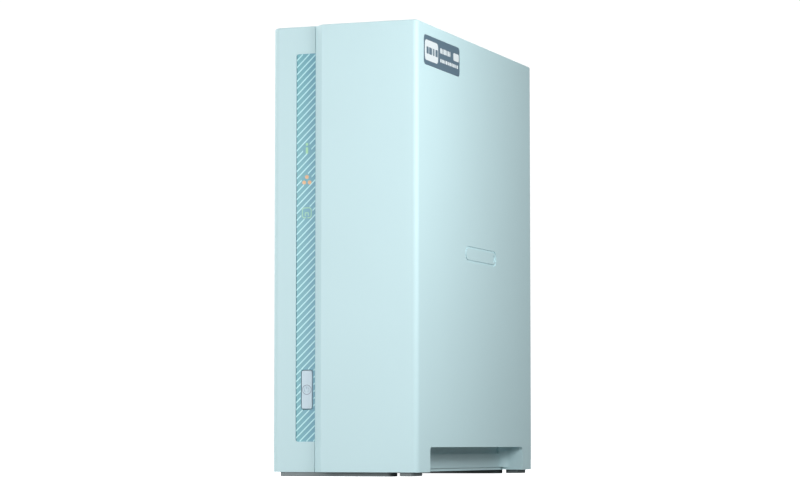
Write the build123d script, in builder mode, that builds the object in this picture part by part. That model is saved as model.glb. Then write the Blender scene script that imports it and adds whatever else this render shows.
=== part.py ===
"""One-bay desktop network storage box, in millimetres.

The origin is the middle of the footprint, on the surface that the feet stand on.
+Z is up, -Y is the front with the status window, +X is the side of the sliding cover.
"""
from build123d import *
import math
import os

os.makedirs("parts", exist_ok=True)

# Outside of the housing, over its feet.
width = 66.21
depth = 156.26
height = 188.64
foot_height = 1.8

# Mouldings: walls, rounds, and the gap between pieces that slide past each other.
wall = 2.0
slip = 0.2
left_round = 3.5
front_right_round = 2.2
rear_round = 3.0
top_round = 1.0
return_width = 4.3

# Front strip, set back behind the main front, and the seam between shell and cover.
strip_width = 19.5
strip_recess = 3.4
strip_wall = 3.2
bevel_run = 3.93
bevel_round = 1.2
lip_reach = 2.1
lip_thick = 1.3

# Status window in the strip.
window_width = 8.55
window_low = 14.4
window_high = 177.0
window_thick = 1.5
window_sink = 0.4
window_round = 1.0

# Marks in the window, with the light guide behind them.
mark_inset = 3.95
status_z = 137.0
network_z = 123.85
drive_mark_z = 109.95
mark_base_radius = 2.9
mark_base_thick = 0.5
guide_thick = 2.0
guide_post = 2.2
guide_peg = 1.4

# Power button in the window.
button_inset = 3.65
button_z = 35.98
button_width = 4.86
button_height = 16.05
button_round = 0.8
button_gap = 0.25
button_sink = 0.15
button_travel = 0.8
button_flange = 1.0

# Air recess in the cover's lower edge.
recess_length = 125.5
recess_height = 10.35
recess_depth = 10.1
recess_wall = 1.5
recess_round = 4.0
recess_mouth_round = 1.8
groove_tall = 3.0
groove_deep = 0.9
intake_count = 14
intake_pitch = 8.4
intake_length = 6.0
intake_margin = 1.4
tray_lip = 1.0

# Feet.
bar_left_inset = 3.1
bar_right_inset = 12.605
bar_depth = 8.0
bar_front_inset = 0.8
bar_back_inset = 4.1
pad_width = 7.0
pad_depth = 11.0
pad_lift = 0.2

# Label pocket on the cover, and the plain mark pressed into the middle of its side.
label_length = 45.6
label_height = 12.4
label_y = -47.5
label_z = 177.3
label_round = 2.0
label_sink = 0.3
label_thick = 0.25
emblem_length = 42.0
emblem_height = 6.8
emblem_y = 4.0
emblem_z = 95.5
emblem_line = 0.9
emblem_sink = 0.35

# Screws: shank, head and the hole that stands in for a thread.
screw_radius = 1.5
screw_head_radius = 2.8
screw_head = 1.5
thread_gap = 0.08
screw_drive_width = 0.7
screw_drive_depth = 0.8
screw_drive_reach = 1.8
small_screw_radius = 1.0
small_screw_head_radius = 2.0

# Circuit boards.
board_thick = 1.6
board_lift = 4.6
board_low = 14.0
board_high = 112.0
board_front_gap = 13.0
front_board_gap = 5.6
front_board_width = 12.0

# Sockets on the rear edge of the main board.
panel_gap = 0.3
jack_width = 16.0
jack_tall = 13.5
jack_deep = 21.0
jack_z = 53.0
usb_width = 14.0
usb_tall = 6.6
usb_deep = 16.0
usb_low_z = 74.0
usb_high_z = 92.0
inlet_width = 9.2
inlet_tall = 11.0
inlet_deep = 14.2
inlet_z = 30.0
inlet_bore = 2.85
inlet_pin = 1.0
reset_z = 104.5
reset_radius = 0.9
reset_travel = 0.4

# Hard drive, a standard 3.5 inch size, standing on its connector end.
drive_long = 147.0
drive_wide = 101.6
drive_thick = 26.1
drive_side_gap = 3.6
drive_low = 27.0
drive_front_gap = 10.5
side_hole_rise = 6.35
side_hole_first = 28.5
side_hole_pitch = 101.6
drive_travel = 7.0

# Steel sled and cage.
steel = 1.2
sled_gap = 0.8
grommet_collar = 1.5
cage_gap = 1.8
hook_reach = 1.4

# Fan.
fan_size = 50.0
fan_thick = 10.0
fan_rim = 1.4
fan_hole_inset = 5.0
fan_offset = -1.2
fan_z = 148.0
blade_count = 7
blade_gap = 1.0
hub_radius = 12.0
fan_shaft_radius = 1.2
bearing_gap = 0.05
vent_across = 3.4
vent_pitch = 4.2
vent_inset = 1.1

# Cover screws.
cover_screw_inset = 6.1
cover_screw_low = 20.0
cover_screw_high = 112.0

# Places that follow from the sizes above.
left = -width / 2
right = width / 2
front = -depth / 2
back = depth / 2
underside = foot_height
floor_top = underside + wall
strip_face = front + strip_recess
strip_inner = strip_face + strip_wall
seam_x = left + strip_width
shell_seam = seam_x - slip / 2
cover_seam = seam_x + slip / 2
ceiling = height - wall
left_inner = left + wall
right_inner = right - wall
window_face = strip_face + window_sink
window_back = window_face + window_thick
mark_x = seam_x - mark_inset
button_x = seam_x - button_inset
recess_x = right - recess_depth
recess_top = underside + recess_height
tray_step = recess_x - recess_wall - slip
tray_right = recess_x - slip / 2
recess_low = underside + tray_lip + slip
panel_back = back - wall - slip / 2
panel_front = panel_back - wall
panel_right = right - return_width - slip
board_face = left_inner + board_lift + board_thick
drive_right = right_inner - drive_side_gap
drive_left = drive_right - drive_thick
drive_front = strip_inner + drive_front_gap
drive_back = drive_front + drive_wide
drive_middle = (drive_front + drive_back) / 2
sled_right = drive_left - sled_gap
sled_left = sled_right - steel
cage_right = sled_left - cage_gap
cage_left = cage_right - steel
port_face = panel_back + slip
fan_x = fan_offset
fan_bore_radius = fan_size / 2 - fan_rim
fan_hole_pitch = fan_size - 2 * fan_hole_inset
blade_tip_radius = fan_bore_radius - blade_gap
vent_radius = fan_bore_radius - vent_inset
bar_right = right - bar_right_inset


def block(low, high, mode=Mode.ADD):
    """Add or cut a box between two opposite corners."""
    middle = tuple((a + b) / 2 for a, b in zip(low, high))
    size = [b - a for a, b in zip(low, high)]
    with Locations(middle):
        Box(*size, mode=mode)


def rod(start, direction, radius, length, mode=Mode.ADD):
    """Add or cut a cylinder that runs from start along direction."""
    with Locations(Plane(origin=start, z_dir=direction).location):
        Cylinder(radius, length, align=(Align.CENTER, Align.CENTER, Align.MIN), mode=mode)


# ---------------------------------------------------------------- housing

# Rails for the main board: a boss at each of its corner holes.
board_front = strip_inner + board_front_gap
board_back = panel_front - slip
board_hole_inset = 6.0
board_holes = [
    (y, z)
    for y in (board_front + board_hole_inset, board_back - jack_deep - board_hole_inset)
    for z in (board_low + board_hole_inset, board_high - board_hole_inset)
]
board_boss_radius = 3.2
board_screw_length = 5.5

# Long bosses that carry the drive cage above the main board.
cage_boss_radius = 3.6
cage_hole_inset = 8.0
cage_low = drive_low + 4.0
cage_high = drive_low + drive_long - 2.0
cage_front = drive_front + 2.0
cage_back = drive_back - 2.0
cage_hole_low = board_high + cage_hole_inset
cage_hole_high = cage_high - cage_hole_inset
cage_holes = [
    (y, z)
    for y in (cage_front + cage_hole_inset, cage_back - cage_hole_inset)
    for z in (cage_hole_low, cage_hole_high)
]

# Bosses that the base tray is screwed to.
tray_boss_radius = 3.6
tray_boss_height = 9.0
tray_screw_x = left_inner + tray_boss_radius - 0.8
tray_screw_length = 7.0
tray_screw_ys = (board_front - 6.5, board_back - 1.5 * tray_boss_radius)

# Front board, its lamps and its switch.
front_board_face = strip_inner + front_board_gap
front_board_left = button_x - front_board_width / 2
front_board_right = button_x + front_board_width / 2
front_board_low = button_z - button_height
front_board_high = status_z + 9.0
front_boss_radius = 2.6
front_boss_zs = (front_board_low + 4.0, front_board_high - 3.0)

# Left shell: left side, front strip and the left part of the top, one moulding.
with BuildPart() as left_shell:
    with BuildSketch(Plane.XY.offset(underside)) as shell_plan:
        with Locations(((left + shell_seam) / 2, (strip_face + back) / 2)):
            Rectangle(shell_seam - left, back - strip_face)
        fillet(shell_plan.vertices().group_by(Axis.X)[0].sort_by(Axis.Y)[0], left_round)
        fillet(shell_plan.vertices().group_by(Axis.X)[0].sort_by(Axis.Y)[-1], rear_round)
    extrude(amount=height - underside)
    shell_rim = left_shell.faces().sort_by(Axis.Z)[-1].edges()
    fillet(shell_rim.filter_by(lambda edge: edge.center().X < shell_seam - slip), top_round)
    block((left_inner, strip_inner, underside - 1), (seam_x + 1, back - wall, ceiling), Mode.SUBTRACT)
    return_end = left + return_width
    block((return_end, back - 2 * wall, underside - 1), (seam_x + 1, back + 1, ceiling), Mode.SUBTRACT)
    # Pocket for the window, open at the seam, and the ways through for marks and button.
    with BuildSketch(Plane.XZ.offset(-strip_face)) as window_pocket:
        with Locations((shell_seam - window_width / 2, (window_low + window_high) / 2)):
            Rectangle(window_width, window_high - window_low)
        fillet(window_pocket.vertices().group_by(Axis.X)[0], window_round)
    extrude(amount=-(window_back - strip_face), mode=Mode.SUBTRACT)
    for z in (status_z, network_z, drive_mark_z):
        with BuildSketch(Plane.XZ.offset(-window_back)):
            with Locations((mark_x, z)):
                Circle(guide_post + slip)
        extrude(amount=-strip_wall, mode=Mode.SUBTRACT)
    with BuildSketch(Plane.XZ.offset(-window_back)):
        with Locations((button_x, button_z)):
            RectangleRounded(button_width + 2 * button_gap, button_height + 2 * button_gap, button_round)
    extrude(amount=-strip_wall, mode=Mode.SUBTRACT)
    # Lips that reach behind the cover at the seam.
    block(
        (shell_seam - lip_reach, strip_inner - lip_thick, ceiling - slip - lip_thick),
        (seam_x + lip_reach, panel_front - slip, ceiling - slip),
    )
    block(
        (shell_seam - lip_reach, strip_inner - lip_thick, ceiling - slip - lip_thick),
        (shell_seam - slip, panel_front - slip, ceiling + top_round / 2),
    )
    block(
        (shell_seam - slip, strip_inner - lip_thick, floor_top + slip),
        (seam_x + lip_reach, strip_inner, ceiling - slip),
    )
    # Bosses on the inside of the left wall and of the strip.
    for y, z in board_holes:
        rod((left_inner - wall / 2, y, z), (1, 0, 0), board_boss_radius, board_lift + wall / 2)
        rod((left_inner, y, z), (1, 0, 0), screw_radius + thread_gap, board_lift + 1, Mode.SUBTRACT)
    for y, z in cage_holes:
        rod((left_inner - wall / 2, y, z), (1, 0, 0), cage_boss_radius, cage_left - left_inner + wall / 2)
        rod((cage_left - 8, y, z), (1, 0, 0), screw_radius + thread_gap, 9, Mode.SUBTRACT)
    for y in tray_screw_ys:
        rod((tray_screw_x, y, floor_top), (0, 0, 1), tray_boss_radius, tray_boss_height)
        thread_radius = screw_radius + thread_gap
        rod((tray_screw_x, y, floor_top), (0, 0, 1), thread_radius, tray_screw_length, Mode.SUBTRACT)
    for z in front_boss_zs:
        front_boss_start = strip_inner - lip_thick / 2
        rod((mark_x, front_boss_start, z), (0, 1, 0), front_boss_radius, front_board_face - front_boss_start)
        small_thread = small_screw_radius + thread_gap
        rod((mark_x, strip_inner + 1, z), (0, 1, 0), small_thread, front_board_gap, Mode.SUBTRACT)
left_shell.part.label = "left_shell"
export_step(left_shell.part, "parts/left_shell.step")

# Side cover: main front, right side and the rest of the top, with the air recess moulded in.
with BuildPart() as side_cover:
    with BuildSketch(Plane.XY.offset(underside)) as cover_plan:
        with BuildLine():
            Polyline(
                (cover_seam, strip_face),
                (cover_seam + bevel_run, front),
                (right, front),
                (right, back),
                (cover_seam, back),
                close=True,
            )
        make_face()
        fillet(cover_plan.vertices().group_by(Axis.X)[-1].sort_by(Axis.Y)[0], front_right_round)
        fillet(cover_plan.vertices().group_by(Axis.Y)[0].sort_by(Axis.X)[0], bevel_round)
        fillet(cover_plan.vertices().group_by(Axis.X)[-1].sort_by(Axis.Y)[-1], rear_round)
    extrude(amount=height - underside)
    cover_rim = side_cover.faces().sort_by(Axis.Z)[-1].edges()
    fillet(cover_rim.filter_by(lambda edge: edge.center().X > cover_seam + slip), top_round)
    # The hollow inside, which leaves a narrow return at the rear corner.
    with BuildSketch(Plane.XY.offset(underside - 1)):
        with BuildLine():
            Polyline(
                (cover_seam - 1, strip_inner - lip_thick - slip),
                (cover_seam + lip_reach, strip_inner - lip_thick - slip),
                (cover_seam + lip_reach + strip_recess, front + wall),
                (right_inner, front + wall),
                (right_inner, back - wall),
                (right - return_width, back - wall),
                (right - return_width, back + 1),
                (cover_seam - 1, back + 1),
                close=True,
            )
        make_face()
    extrude(amount=ceiling - underside + 1, mode=Mode.SUBTRACT)
    # Walls round the air recess, its roof, and the floor at both ends of it.
    with BuildSketch(Plane.XY.offset(recess_low)):
        with Locations(((recess_x - recess_wall + right_inner) / 2, 0)):
            Rectangle(right_inner - recess_x + recess_wall + slip, recess_length + 2 * recess_wall)
    extrude(amount=recess_top - recess_low + recess_wall)
    floor_ends = ((front + wall / 2, -recess_length / 2), (recess_length / 2, panel_back))
    for low_y, high_y in floor_ends:
        block((recess_x + slip / 2, low_y, underside), (right_inner + slip, high_y, floor_top))
    with BuildSketch(Plane.XY.offset(underside)) as recess_plan:
        with Locations(((recess_x + right_inner + slip) / 2, 0)):
            Rectangle(right_inner + slip - recess_x, recess_length)
        fillet(recess_plan.vertices().group_by(Axis.X)[0], recess_round)
    extrude(amount=recess_height, mode=Mode.SUBTRACT)
    # The mouth of the recess in the outer wall, open below, with rounded upper corners.
    with BuildSketch(Plane.YZ.offset(right_inner)) as mouth:
        with Locations((0, recess_top - recess_height)):
            Rectangle(recess_length, 2 * recess_height)
        fillet(mouth.vertices().group_by(Axis.Y)[-1], recess_mouth_round)
    extrude(amount=wall + 1, mode=Mode.SUBTRACT)
    # Groove along the top of the recess's back wall, and air slots up through its roof.
    groove_half = recess_length / 2 - recess_round
    block(
        (recess_x - groove_deep, -groove_half, recess_top - groove_tall),
        (recess_x + 1, groove_half, recess_top),
        Mode.SUBTRACT,
    )
    for step in range(intake_count):
        y = (step - (intake_count - 1) / 2) * intake_pitch
        low = (recess_x + intake_margin, y - intake_length / 2, recess_top - 1)
        high = (right_inner - intake_margin, y + intake_length / 2, recess_top + recess_wall + 1)
        block(low, high, Mode.SUBTRACT)
    # Tabs that the rear screws hold.
    for z in (cover_screw_low, cover_screw_high):
        tab_x = right_inner - cover_screw_inset
        block((tab_x - 4.5, panel_front - slip - 4, z - 5), (right_inner + slip, panel_front - slip, z + 5))
        rod((tab_x, panel_front - 6, z), (0, 1, 0), screw_radius + thread_gap, 8, Mode.SUBTRACT)
    # Shallow pocket for the label.
    with BuildSketch(Plane.YZ.offset(right)):
        with Locations((label_y, label_z)):
            RectangleRounded(label_length + slip, label_height + slip, label_round)
    extrude(amount=-label_sink, mode=Mode.SUBTRACT)
    # Plain pressed mark: the outline of a drive with its lamp.
    with BuildSketch(Plane.YZ.offset(right)):
        with Locations((emblem_y, emblem_z)):
            SlotOverall(emblem_length, emblem_height)
            SlotOverall(emblem_length - 2 * emblem_line, emblem_height - 2 * emblem_line, mode=Mode.SUBTRACT)
        with Locations((emblem_y + emblem_length / 2 - emblem_height / 2, emblem_z)):
            Circle(emblem_height / 2 - 2 * emblem_line)
    extrude(amount=-emblem_sink, mode=Mode.SUBTRACT)
side_cover.part.label = "side_cover"
export_step(side_cover.part, "parts/side_cover.step")

# Base tray: the floor between the left shell and the cover, screwed up into the shell.
socket_board_z = drive_low - 9.6
tray_post_radius = 3.0
socket_board_left = board_face + 3.0
socket_board_right = drive_left + 17.0
socket_board_half = 26.0
tray_post_inset = 4.5
tray_posts = [
    (x, y)
    for x in (socket_board_left + tray_post_inset, socket_board_right - tray_post_inset)
    for y in (
        drive_middle - socket_board_half + tray_post_inset,
        drive_middle + socket_board_half - tray_post_inset,
    )
]
with BuildPart() as base_tray:
    with BuildSketch(Plane.XY.offset(underside)):
        with BuildLine():
            Polyline(
                (left_inner + slip / 2, strip_inner + slip / 2),
                (seam_x + lip_reach + 2 * slip, strip_inner + slip / 2),
                (seam_x + lip_reach + strip_recess + 3 * slip, front + wall + slip),
                (tray_right, front + wall + slip),
                (tray_right, panel_back),
                (left_inner + slip / 2, panel_back),
                close=True,
            )
        make_face()
    extrude(amount=wall)
    block((tray_step, front, underside + tray_lip), (right, back, floor_top + 1), Mode.SUBTRACT)
    for x, y in tray_posts:
        rod((x, y, floor_top - 1), (0, 0, 1), tray_post_radius, socket_board_z - floor_top + 1)
        rod((x, y, floor_top + 1), (0, 0, 1), screw_radius + thread_gap, socket_board_z, Mode.SUBTRACT)
    for y in tray_screw_ys:
        rod((tray_screw_x, y, underside - 1), (0, 0, 1), screw_radius + slip, wall + 2, Mode.SUBTRACT)
        sink_radius = screw_head_radius + slip
        rod((tray_screw_x, y, underside - 1), (0, 0, 1), sink_radius, 1 + wall / 2, Mode.SUBTRACT)
base_tray.part.label = "base_tray"
export_step(base_tray.part, "parts/base_tray.step")

# Screws that hold the tray, sunk into its underside.
with BuildPart() as base_screws:
    for y in tray_screw_ys:
        rod((tray_screw_x, y, underside), (0, 0, 1), screw_head_radius, wall / 2)
        rod((tray_screw_x, y, underside), (0, 0, 1), screw_radius, wall + tray_screw_length - 1)
base_screws.part.label = "base_screws"
export_step(base_screws.part, "parts/base_screws.step")

# Rear panel, with the fan vent, the ways out for the sockets, and the lock slot.
lock_x = 19.0
lock_z = 60.0
lock_width = 3.2
lock_tall = 7.4
side_vent_x = 12.0
side_vent_zs = [26.0 + 4.5 * step for step in range(7)]
vent_steps = range(-int(vent_radius / vent_pitch) - 1, int(vent_radius / vent_pitch) + 2)
vent_offsets = [
    Vector(vent_pitch * (column + row % 2 / 2), vent_pitch * row * math.sqrt(3) / 2)
    for row in vent_steps
    for column in vent_steps
]
vent_cells = [
    (fan_x + offset.X, fan_z + offset.Y)
    for offset in vent_offsets
    if offset.length < vent_radius - vent_across / 2
]
with BuildPart() as rear_panel:
    block((left_inner + slip / 2, panel_front, floor_top), (panel_right, panel_back, ceiling - slip))
    with BuildSketch(Plane.XZ.offset(-panel_back)):
        with Locations(*vent_cells):
            RegularPolygon(vent_across / 2, 6, major_radius=False)
    extrude(amount=wall, mode=Mode.SUBTRACT)
    for x in (fan_x - fan_hole_pitch / 2, fan_x + fan_hole_pitch / 2):
        for z in (fan_z - fan_hole_pitch / 2, fan_z + fan_hole_pitch / 2):
            rod((x, panel_front - 1, z), (0, 1, 0), screw_radius + slip, wall + 2, Mode.SUBTRACT)
    for z in (cover_screw_low, cover_screw_high):
        x = right_inner - cover_screw_inset
        rod((x, panel_front - 1, z), (0, 1, 0), screw_radius + slip, wall + 2, Mode.SUBTRACT)
    sockets = (
        (jack_tall, jack_width, jack_z),
        (usb_tall, usb_width, usb_low_z),
        (usb_tall, usb_width, usb_high_z),
        (inlet_tall, inlet_width, inlet_z),
    )
    for tall, wide, z in sockets:
        low = (board_face - panel_gap, panel_front - 1, z - wide / 2 - panel_gap)
        high = (board_face + tall + panel_gap, panel_back + 1, z + wide / 2 + panel_gap)
        block(low, high, Mode.SUBTRACT)
    rod((board_face + 3, panel_front - 1, reset_z), (0, 1, 0), reset_radius + slip, wall + 2, Mode.SUBTRACT)
    block(
        (lock_x - lock_width / 2, panel_front - 1, lock_z - lock_tall / 2),
        (lock_x + lock_width / 2, panel_back + 1, lock_z + lock_tall / 2),
        Mode.SUBTRACT,
    )
    for z in side_vent_zs:
        block(
            (side_vent_x - 8, panel_front - 1, z - 1),
            (side_vent_x + 2, panel_back + 1, z + 1),
            Mode.SUBTRACT,
        )
rear_panel.part.label = "rear_panel"
export_step(rear_panel.part, "parts/rear_panel.step")

# Screws through the panel into the cover's tabs.
cover_screw_length = 6.2
screw_cross = ((screw_drive_width / 2, screw_drive_reach), (screw_drive_reach, screw_drive_width / 2))
with BuildPart() as cover_screws:
    for z in (cover_screw_low, cover_screw_high):
        x = right_inner - cover_screw_inset
        rod((x, panel_back - cover_screw_length, z), (0, 1, 0), screw_radius, cover_screw_length)
        rod((x, panel_back, z), (0, 1, 0), screw_head_radius - 0.3, screw_head)
        slot_back = panel_back + screw_head
        for half_x, half_z in screw_cross:
            low = (x - half_x, slot_back - screw_drive_depth, z - half_z)
            block(low, (x + half_x, slot_back + 1, z + half_z), Mode.SUBTRACT)
cover_screws.part.label = "cover_screws"
export_step(cover_screws.part, "parts/cover_screws.step")

# Foot bars under the tray and the shell, with round ends.
bar_left = left + bar_left_inset
for bar_name, bar_front in (
    ("front_foot_bar", strip_face + bar_front_inset),
    ("rear_foot_bar", back - bar_back_inset - bar_depth),
):
    with BuildPart() as foot_bar:
        with BuildSketch():
            with Locations(((bar_left + bar_right) / 2, bar_front + bar_depth / 2)):
                RectangleRounded(bar_right - bar_left, bar_depth, bar_depth * 0.3)
        extrude(amount=foot_height)
        fillet(foot_bar.faces().sort_by(Axis.Z)[0].edges(), 0.4)
    foot_bar.part.label = bar_name
    export_step(foot_bar.part, f"parts/{bar_name}.step")

# Pads under the cover's two corners, a little off the table.
pad_x = recess_x + pad_width / 2 + 1.0
pad_ys = {
    "cover_front_pad": front + wall + pad_depth / 2,
    "cover_rear_pad": back - wall - pad_depth / 2 - 0.6,
}
for pad_name, pad_y in pad_ys.items():
    with BuildPart() as cover_pad:
        with BuildSketch(Plane.XY.offset(pad_lift)):
            with Locations((pad_x, pad_y)):
                RectangleRounded(pad_width, pad_depth, 2.0)
        extrude(amount=foot_height - pad_lift)
        fillet(cover_pad.faces().sort_by(Axis.Z)[0].edges(), 0.4)
    cover_pad.part.label = pad_name
    export_step(cover_pad.part, f"parts/{pad_name}.step")

# Label in the pocket on the cover.
with BuildPart() as product_label:
    with BuildSketch(Plane.YZ.offset(right - label_sink)):
        with Locations((label_y, label_z)):
            RectangleRounded(label_length, label_height, label_round)
    extrude(amount=label_thick)
product_label.part.label = "product_label"
export_step(product_label.part, "parts/product_label.step")

# ---------------------------------------------------------------- front strip

# Outlines of the three marks, on the plane of the window's back face.
mark_plane = Plane.XZ.offset(-window_back)
with BuildSketch(mark_plane) as status_mark:
    with Locations((mark_x, status_z + 1.75)):
        Circle(0.6)
    with Locations((mark_x, status_z - 0.87)):
        RectangleRounded(1.1, 2.8, 0.3)
with BuildSketch(mark_plane) as network_mark:
    network_dots = [(0, 1.15), (-1.24, -1.15), (1.24, -1.15)]
    with Locations(*[(mark_x + dot_x, network_z + dot_z) for dot_x, dot_z in network_dots]):
        Circle(0.85)
with BuildSketch(mark_plane) as drive_mark:
    with Locations((mark_x, drive_mark_z)):
        RectangleRounded(4.4, 4.6, 1.2)
        RectangleRounded(3.5, 3.7, 0.8, mode=Mode.SUBTRACT)
        RectangleRounded(1.7, 0.45, 0.2)
    with Locations((mark_x, drive_mark_z - 2.1)):
        Rectangle(0.6, 1.0, mode=Mode.SUBTRACT)
    with Locations((mark_x - 0.7, drive_mark_z - 0.75), (mark_x + 0.7, drive_mark_z - 0.75)):
        RectangleRounded(0.5, 1.2, 0.2)
marks = {
    "status_mark": (status_mark, status_z),
    "network_mark": (network_mark, network_z),
    "drive_mark": (drive_mark, drive_mark_z),
}

# Window: a clear strip printed on its back, with the marks let into it.
with BuildPart() as status_window:
    with BuildSketch(Plane.XZ.offset(-window_face)) as window_plan:
        with Locations((shell_seam - window_width / 2, (window_low + window_high) / 2)):
            Rectangle(window_width, window_high - window_low)
        fillet(window_plan.vertices().group_by(Axis.X)[0], window_round)
    extrude(amount=-window_thick)
    with BuildSketch(Plane.XZ.offset(-window_face)):
        with Locations((button_x, button_z)):
            way_width = button_width + 2 * button_gap
            way_height = button_height + 2 * button_gap
            RectangleRounded(way_width, way_height, button_round + button_gap)
    extrude(amount=-window_thick, mode=Mode.SUBTRACT)
    for mark, z in marks.values():
        with BuildSketch(mark_plane):
            with Locations((mark_x, z)):
                Circle(mark_base_radius)
        extrude(amount=mark_base_thick, mode=Mode.SUBTRACT)
        extrude(mark.sketch, amount=window_thick, mode=Mode.SUBTRACT)
status_window.part.label = "status_window"
export_step(status_window.part, "parts/status_window.step")

# Marks: tinted inlays on a round base behind the window.
for mark_name, (mark, z) in marks.items():
    with BuildPart() as inlay:
        with BuildSketch(mark_plane):
            with Locations((mark_x, z)):
                Circle(mark_base_radius)
        extrude(amount=mark_base_thick)
        extrude(mark.sketch, amount=window_thick)
    inlay.part.label = mark_name
    export_step(inlay.part, f"parts/{mark_name}.step")

# Light guide: a clear bar behind the strip with a round post to each mark.
guide_face = strip_inner + slip
with BuildPart() as light_guide:
    block(
        (mark_x - guide_post, guide_face, drive_mark_z - 4),
        (mark_x + guide_post, guide_face + guide_thick, status_z + 3),
    )
    for z in (status_z, network_z, drive_mark_z):
        rod((mark_x, window_back, z), (0, 1, 0), guide_post, guide_face - window_back + 1)
        peg_length = front_board_face - guide_face - guide_thick
        rod((mark_x, guide_face + guide_thick - 1, z), (0, 1, 0), guide_peg, peg_length)
light_guide.part.label = "light_guide"
export_step(light_guide.part, "parts/light_guide.step")

# Front board behind the strip, on two bosses, with its three lamps.
with BuildPart() as front_board:
    block(
        (front_board_left, front_board_face, front_board_low),
        (front_board_right, front_board_face + board_thick, front_board_high),
    )
    for z in front_boss_zs:
        small_way = small_screw_radius + slip
        rod((mark_x, front_board_face - 1, z), (0, 1, 0), small_way, board_thick + 2, Mode.SUBTRACT)
front_board.part.label = "front_board"
export_step(front_board.part, "parts/front_board.step")

lamp_thick = 0.8
with BuildPart() as indicator_lamps:
    for z in (status_z, network_z, drive_mark_z):
        block(
            (mark_x - 0.8, front_board_face - lamp_thick, z - 0.8),
            (mark_x + 0.8, front_board_face, z + 0.8),
        )
indicator_lamps.part.label = "indicator_lamps"
export_step(indicator_lamps.part, "parts/indicator_lamps.step")

with BuildPart() as front_board_screws:
    for z in front_boss_zs:
        rod((mark_x, front_board_face + board_thick, z), (0, 1, 0), small_screw_head_radius, 1.2)
        rod((mark_x, front_board_face + board_thick, z), (0, -1, 0), small_screw_radius, board_thick + 4)
front_board_screws.part.label = "front_board_screws"
export_step(front_board_screws.part, "parts/front_board_screws.step")

# Power button: a cap in the window, a flange that keeps it in, and a stem to the switch.
switch_deep = 1.9
plunger_radius = 1.0
plunger_gap = 0.07
flange_front = strip_inner + slip
flange_back = flange_front + 0.9
stem_back = front_board_face - switch_deep - button_travel - 0.5
with BuildPart() as power_button:
    with BuildSketch(Plane.XZ.offset(-(strip_face + button_sink))):
        with Locations((button_x, button_z)):
            RectangleRounded(button_width, button_height, button_round)
    extrude(amount=-(flange_front - strip_face - button_sink + 0.3))
    fillet(power_button.faces().sort_by(Axis.Y)[0].edges(), 0.35)
    flange_half_x = button_width / 2 + button_flange
    flange_half_z = button_height / 2 + button_flange
    block(
        (button_x - flange_half_x, flange_front, button_z - flange_half_z),
        (button_x + flange_half_x, flange_back, button_z + flange_half_z),
    )
    rod((button_x, flange_back - 0.3, button_z), (0, 1, 0), 1.6, stem_back - flange_back + 0.3)
    # Power sign: a broken ring and a stroke, cut into the cap.
    with BuildSketch(Plane.XZ.offset(-(strip_face + button_sink))):
        with Locations((button_x, button_z)):
            Circle(1.25)
            Circle(0.95, mode=Mode.SUBTRACT)
        with Locations((button_x, button_z + 1.1)):
            Rectangle(0.9, 1.0, mode=Mode.SUBTRACT)
        with Locations((button_x, button_z + 0.75)):
            Rectangle(0.3, 1.3)
    extrude(amount=-0.15, mode=Mode.SUBTRACT)
power_button.part.label = "power_button"
export_step(power_button.part, "parts/power_button.step")

# Power switch on the front board, bored for the plunger that rides with the button.
with BuildPart() as power_switch:
    block(
        (button_x - 3, front_board_face - switch_deep, button_z - 3),
        (button_x + 3, front_board_face, button_z + 3),
    )
    bore_radius = plunger_radius + plunger_gap
    rod((button_x, front_board_face - 0.2, button_z), (0, -1, 0), bore_radius, 4, Mode.SUBTRACT)
power_switch.part.label = "power_switch"
export_step(power_switch.part, "parts/power_switch.step")

with BuildPart() as switch_plunger:
    plunger_back = front_board_face - 0.3 - button_travel
    rod((button_x, stem_back, button_z), (0, 1, 0), plunger_radius, plunger_back - stem_back)
switch_plunger.part.label = "switch_plunger"
export_step(switch_plunger.part, "parts/switch_plunger.step")

# ---------------------------------------------------------------- main board

with BuildPart() as main_board:
    block((board_face - board_thick, board_front, board_low), (board_face, board_back, board_high))
    for y, z in board_holes:
        hole_start = board_face - board_thick - 1
        rod((hole_start, y, z), (1, 0, 0), screw_radius + slip, board_thick + 2, Mode.SUBTRACT)
main_board.part.label = "main_board"
export_step(main_board.part, "parts/main_board.step")

with BuildPart() as board_screws:
    for y, z in board_holes:
        rod((board_face, y, z), (1, 0, 0), screw_head_radius, screw_head)
        rod((board_face, y, z), (-1, 0, 0), screw_radius, board_screw_length)
board_screws.part.label = "board_screws"
export_step(board_screws.part, "parts/board_screws.step")

chip_y = board_front + 48.0
chip_z = board_low + 58.0
chip_thick = 1.4
with BuildPart() as processor:
    block((board_face, chip_y - 10, chip_z - 10), (board_face + chip_thick, chip_y + 10, chip_z + 10))
processor.part.label = "processor"
export_step(processor.part, "parts/processor.step")

sink_half = 15.0
sink_base = 1.6
fin_count = 9
fin_thick = 1.0
fin_high = 6.0
with BuildPart() as heat_sink:
    low = (board_face + chip_thick, chip_y - sink_half, chip_z - sink_half)
    block(low, (board_face + chip_thick + sink_base, chip_y + sink_half, chip_z + sink_half))
    for step in range(fin_count):
        y = chip_y - sink_half + step * (2 * sink_half - fin_thick) / (fin_count - 1)
        low = (board_face + chip_thick + sink_base, y, chip_z - sink_half)
        block(low, (board_face + chip_thick + sink_base + fin_high, y + fin_thick, chip_z + sink_half))
heat_sink.part.label = "heat_sink"
export_step(heat_sink.part, "parts/heat_sink.step")

with BuildPart() as memory_chips:
    for step in range(2):
        y = chip_y + sink_half + 5
        z = chip_z - 6 + 14 * step
        block((board_face, y, z - 5), (board_face + 1.1, y + 11, z + 5))
memory_chips.part.label = "memory_chips"
export_step(memory_chips.part, "parts/memory_chips.step")

with BuildPart() as capacitors:
    for step in range(4):
        rod((board_face, board_front + 18, board_low + 10 + 9 * step), (1, 0, 0), 3.1, 7.5)
capacitors.part.label = "capacitors"
export_step(capacitors.part, "parts/capacitors.step")

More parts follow.
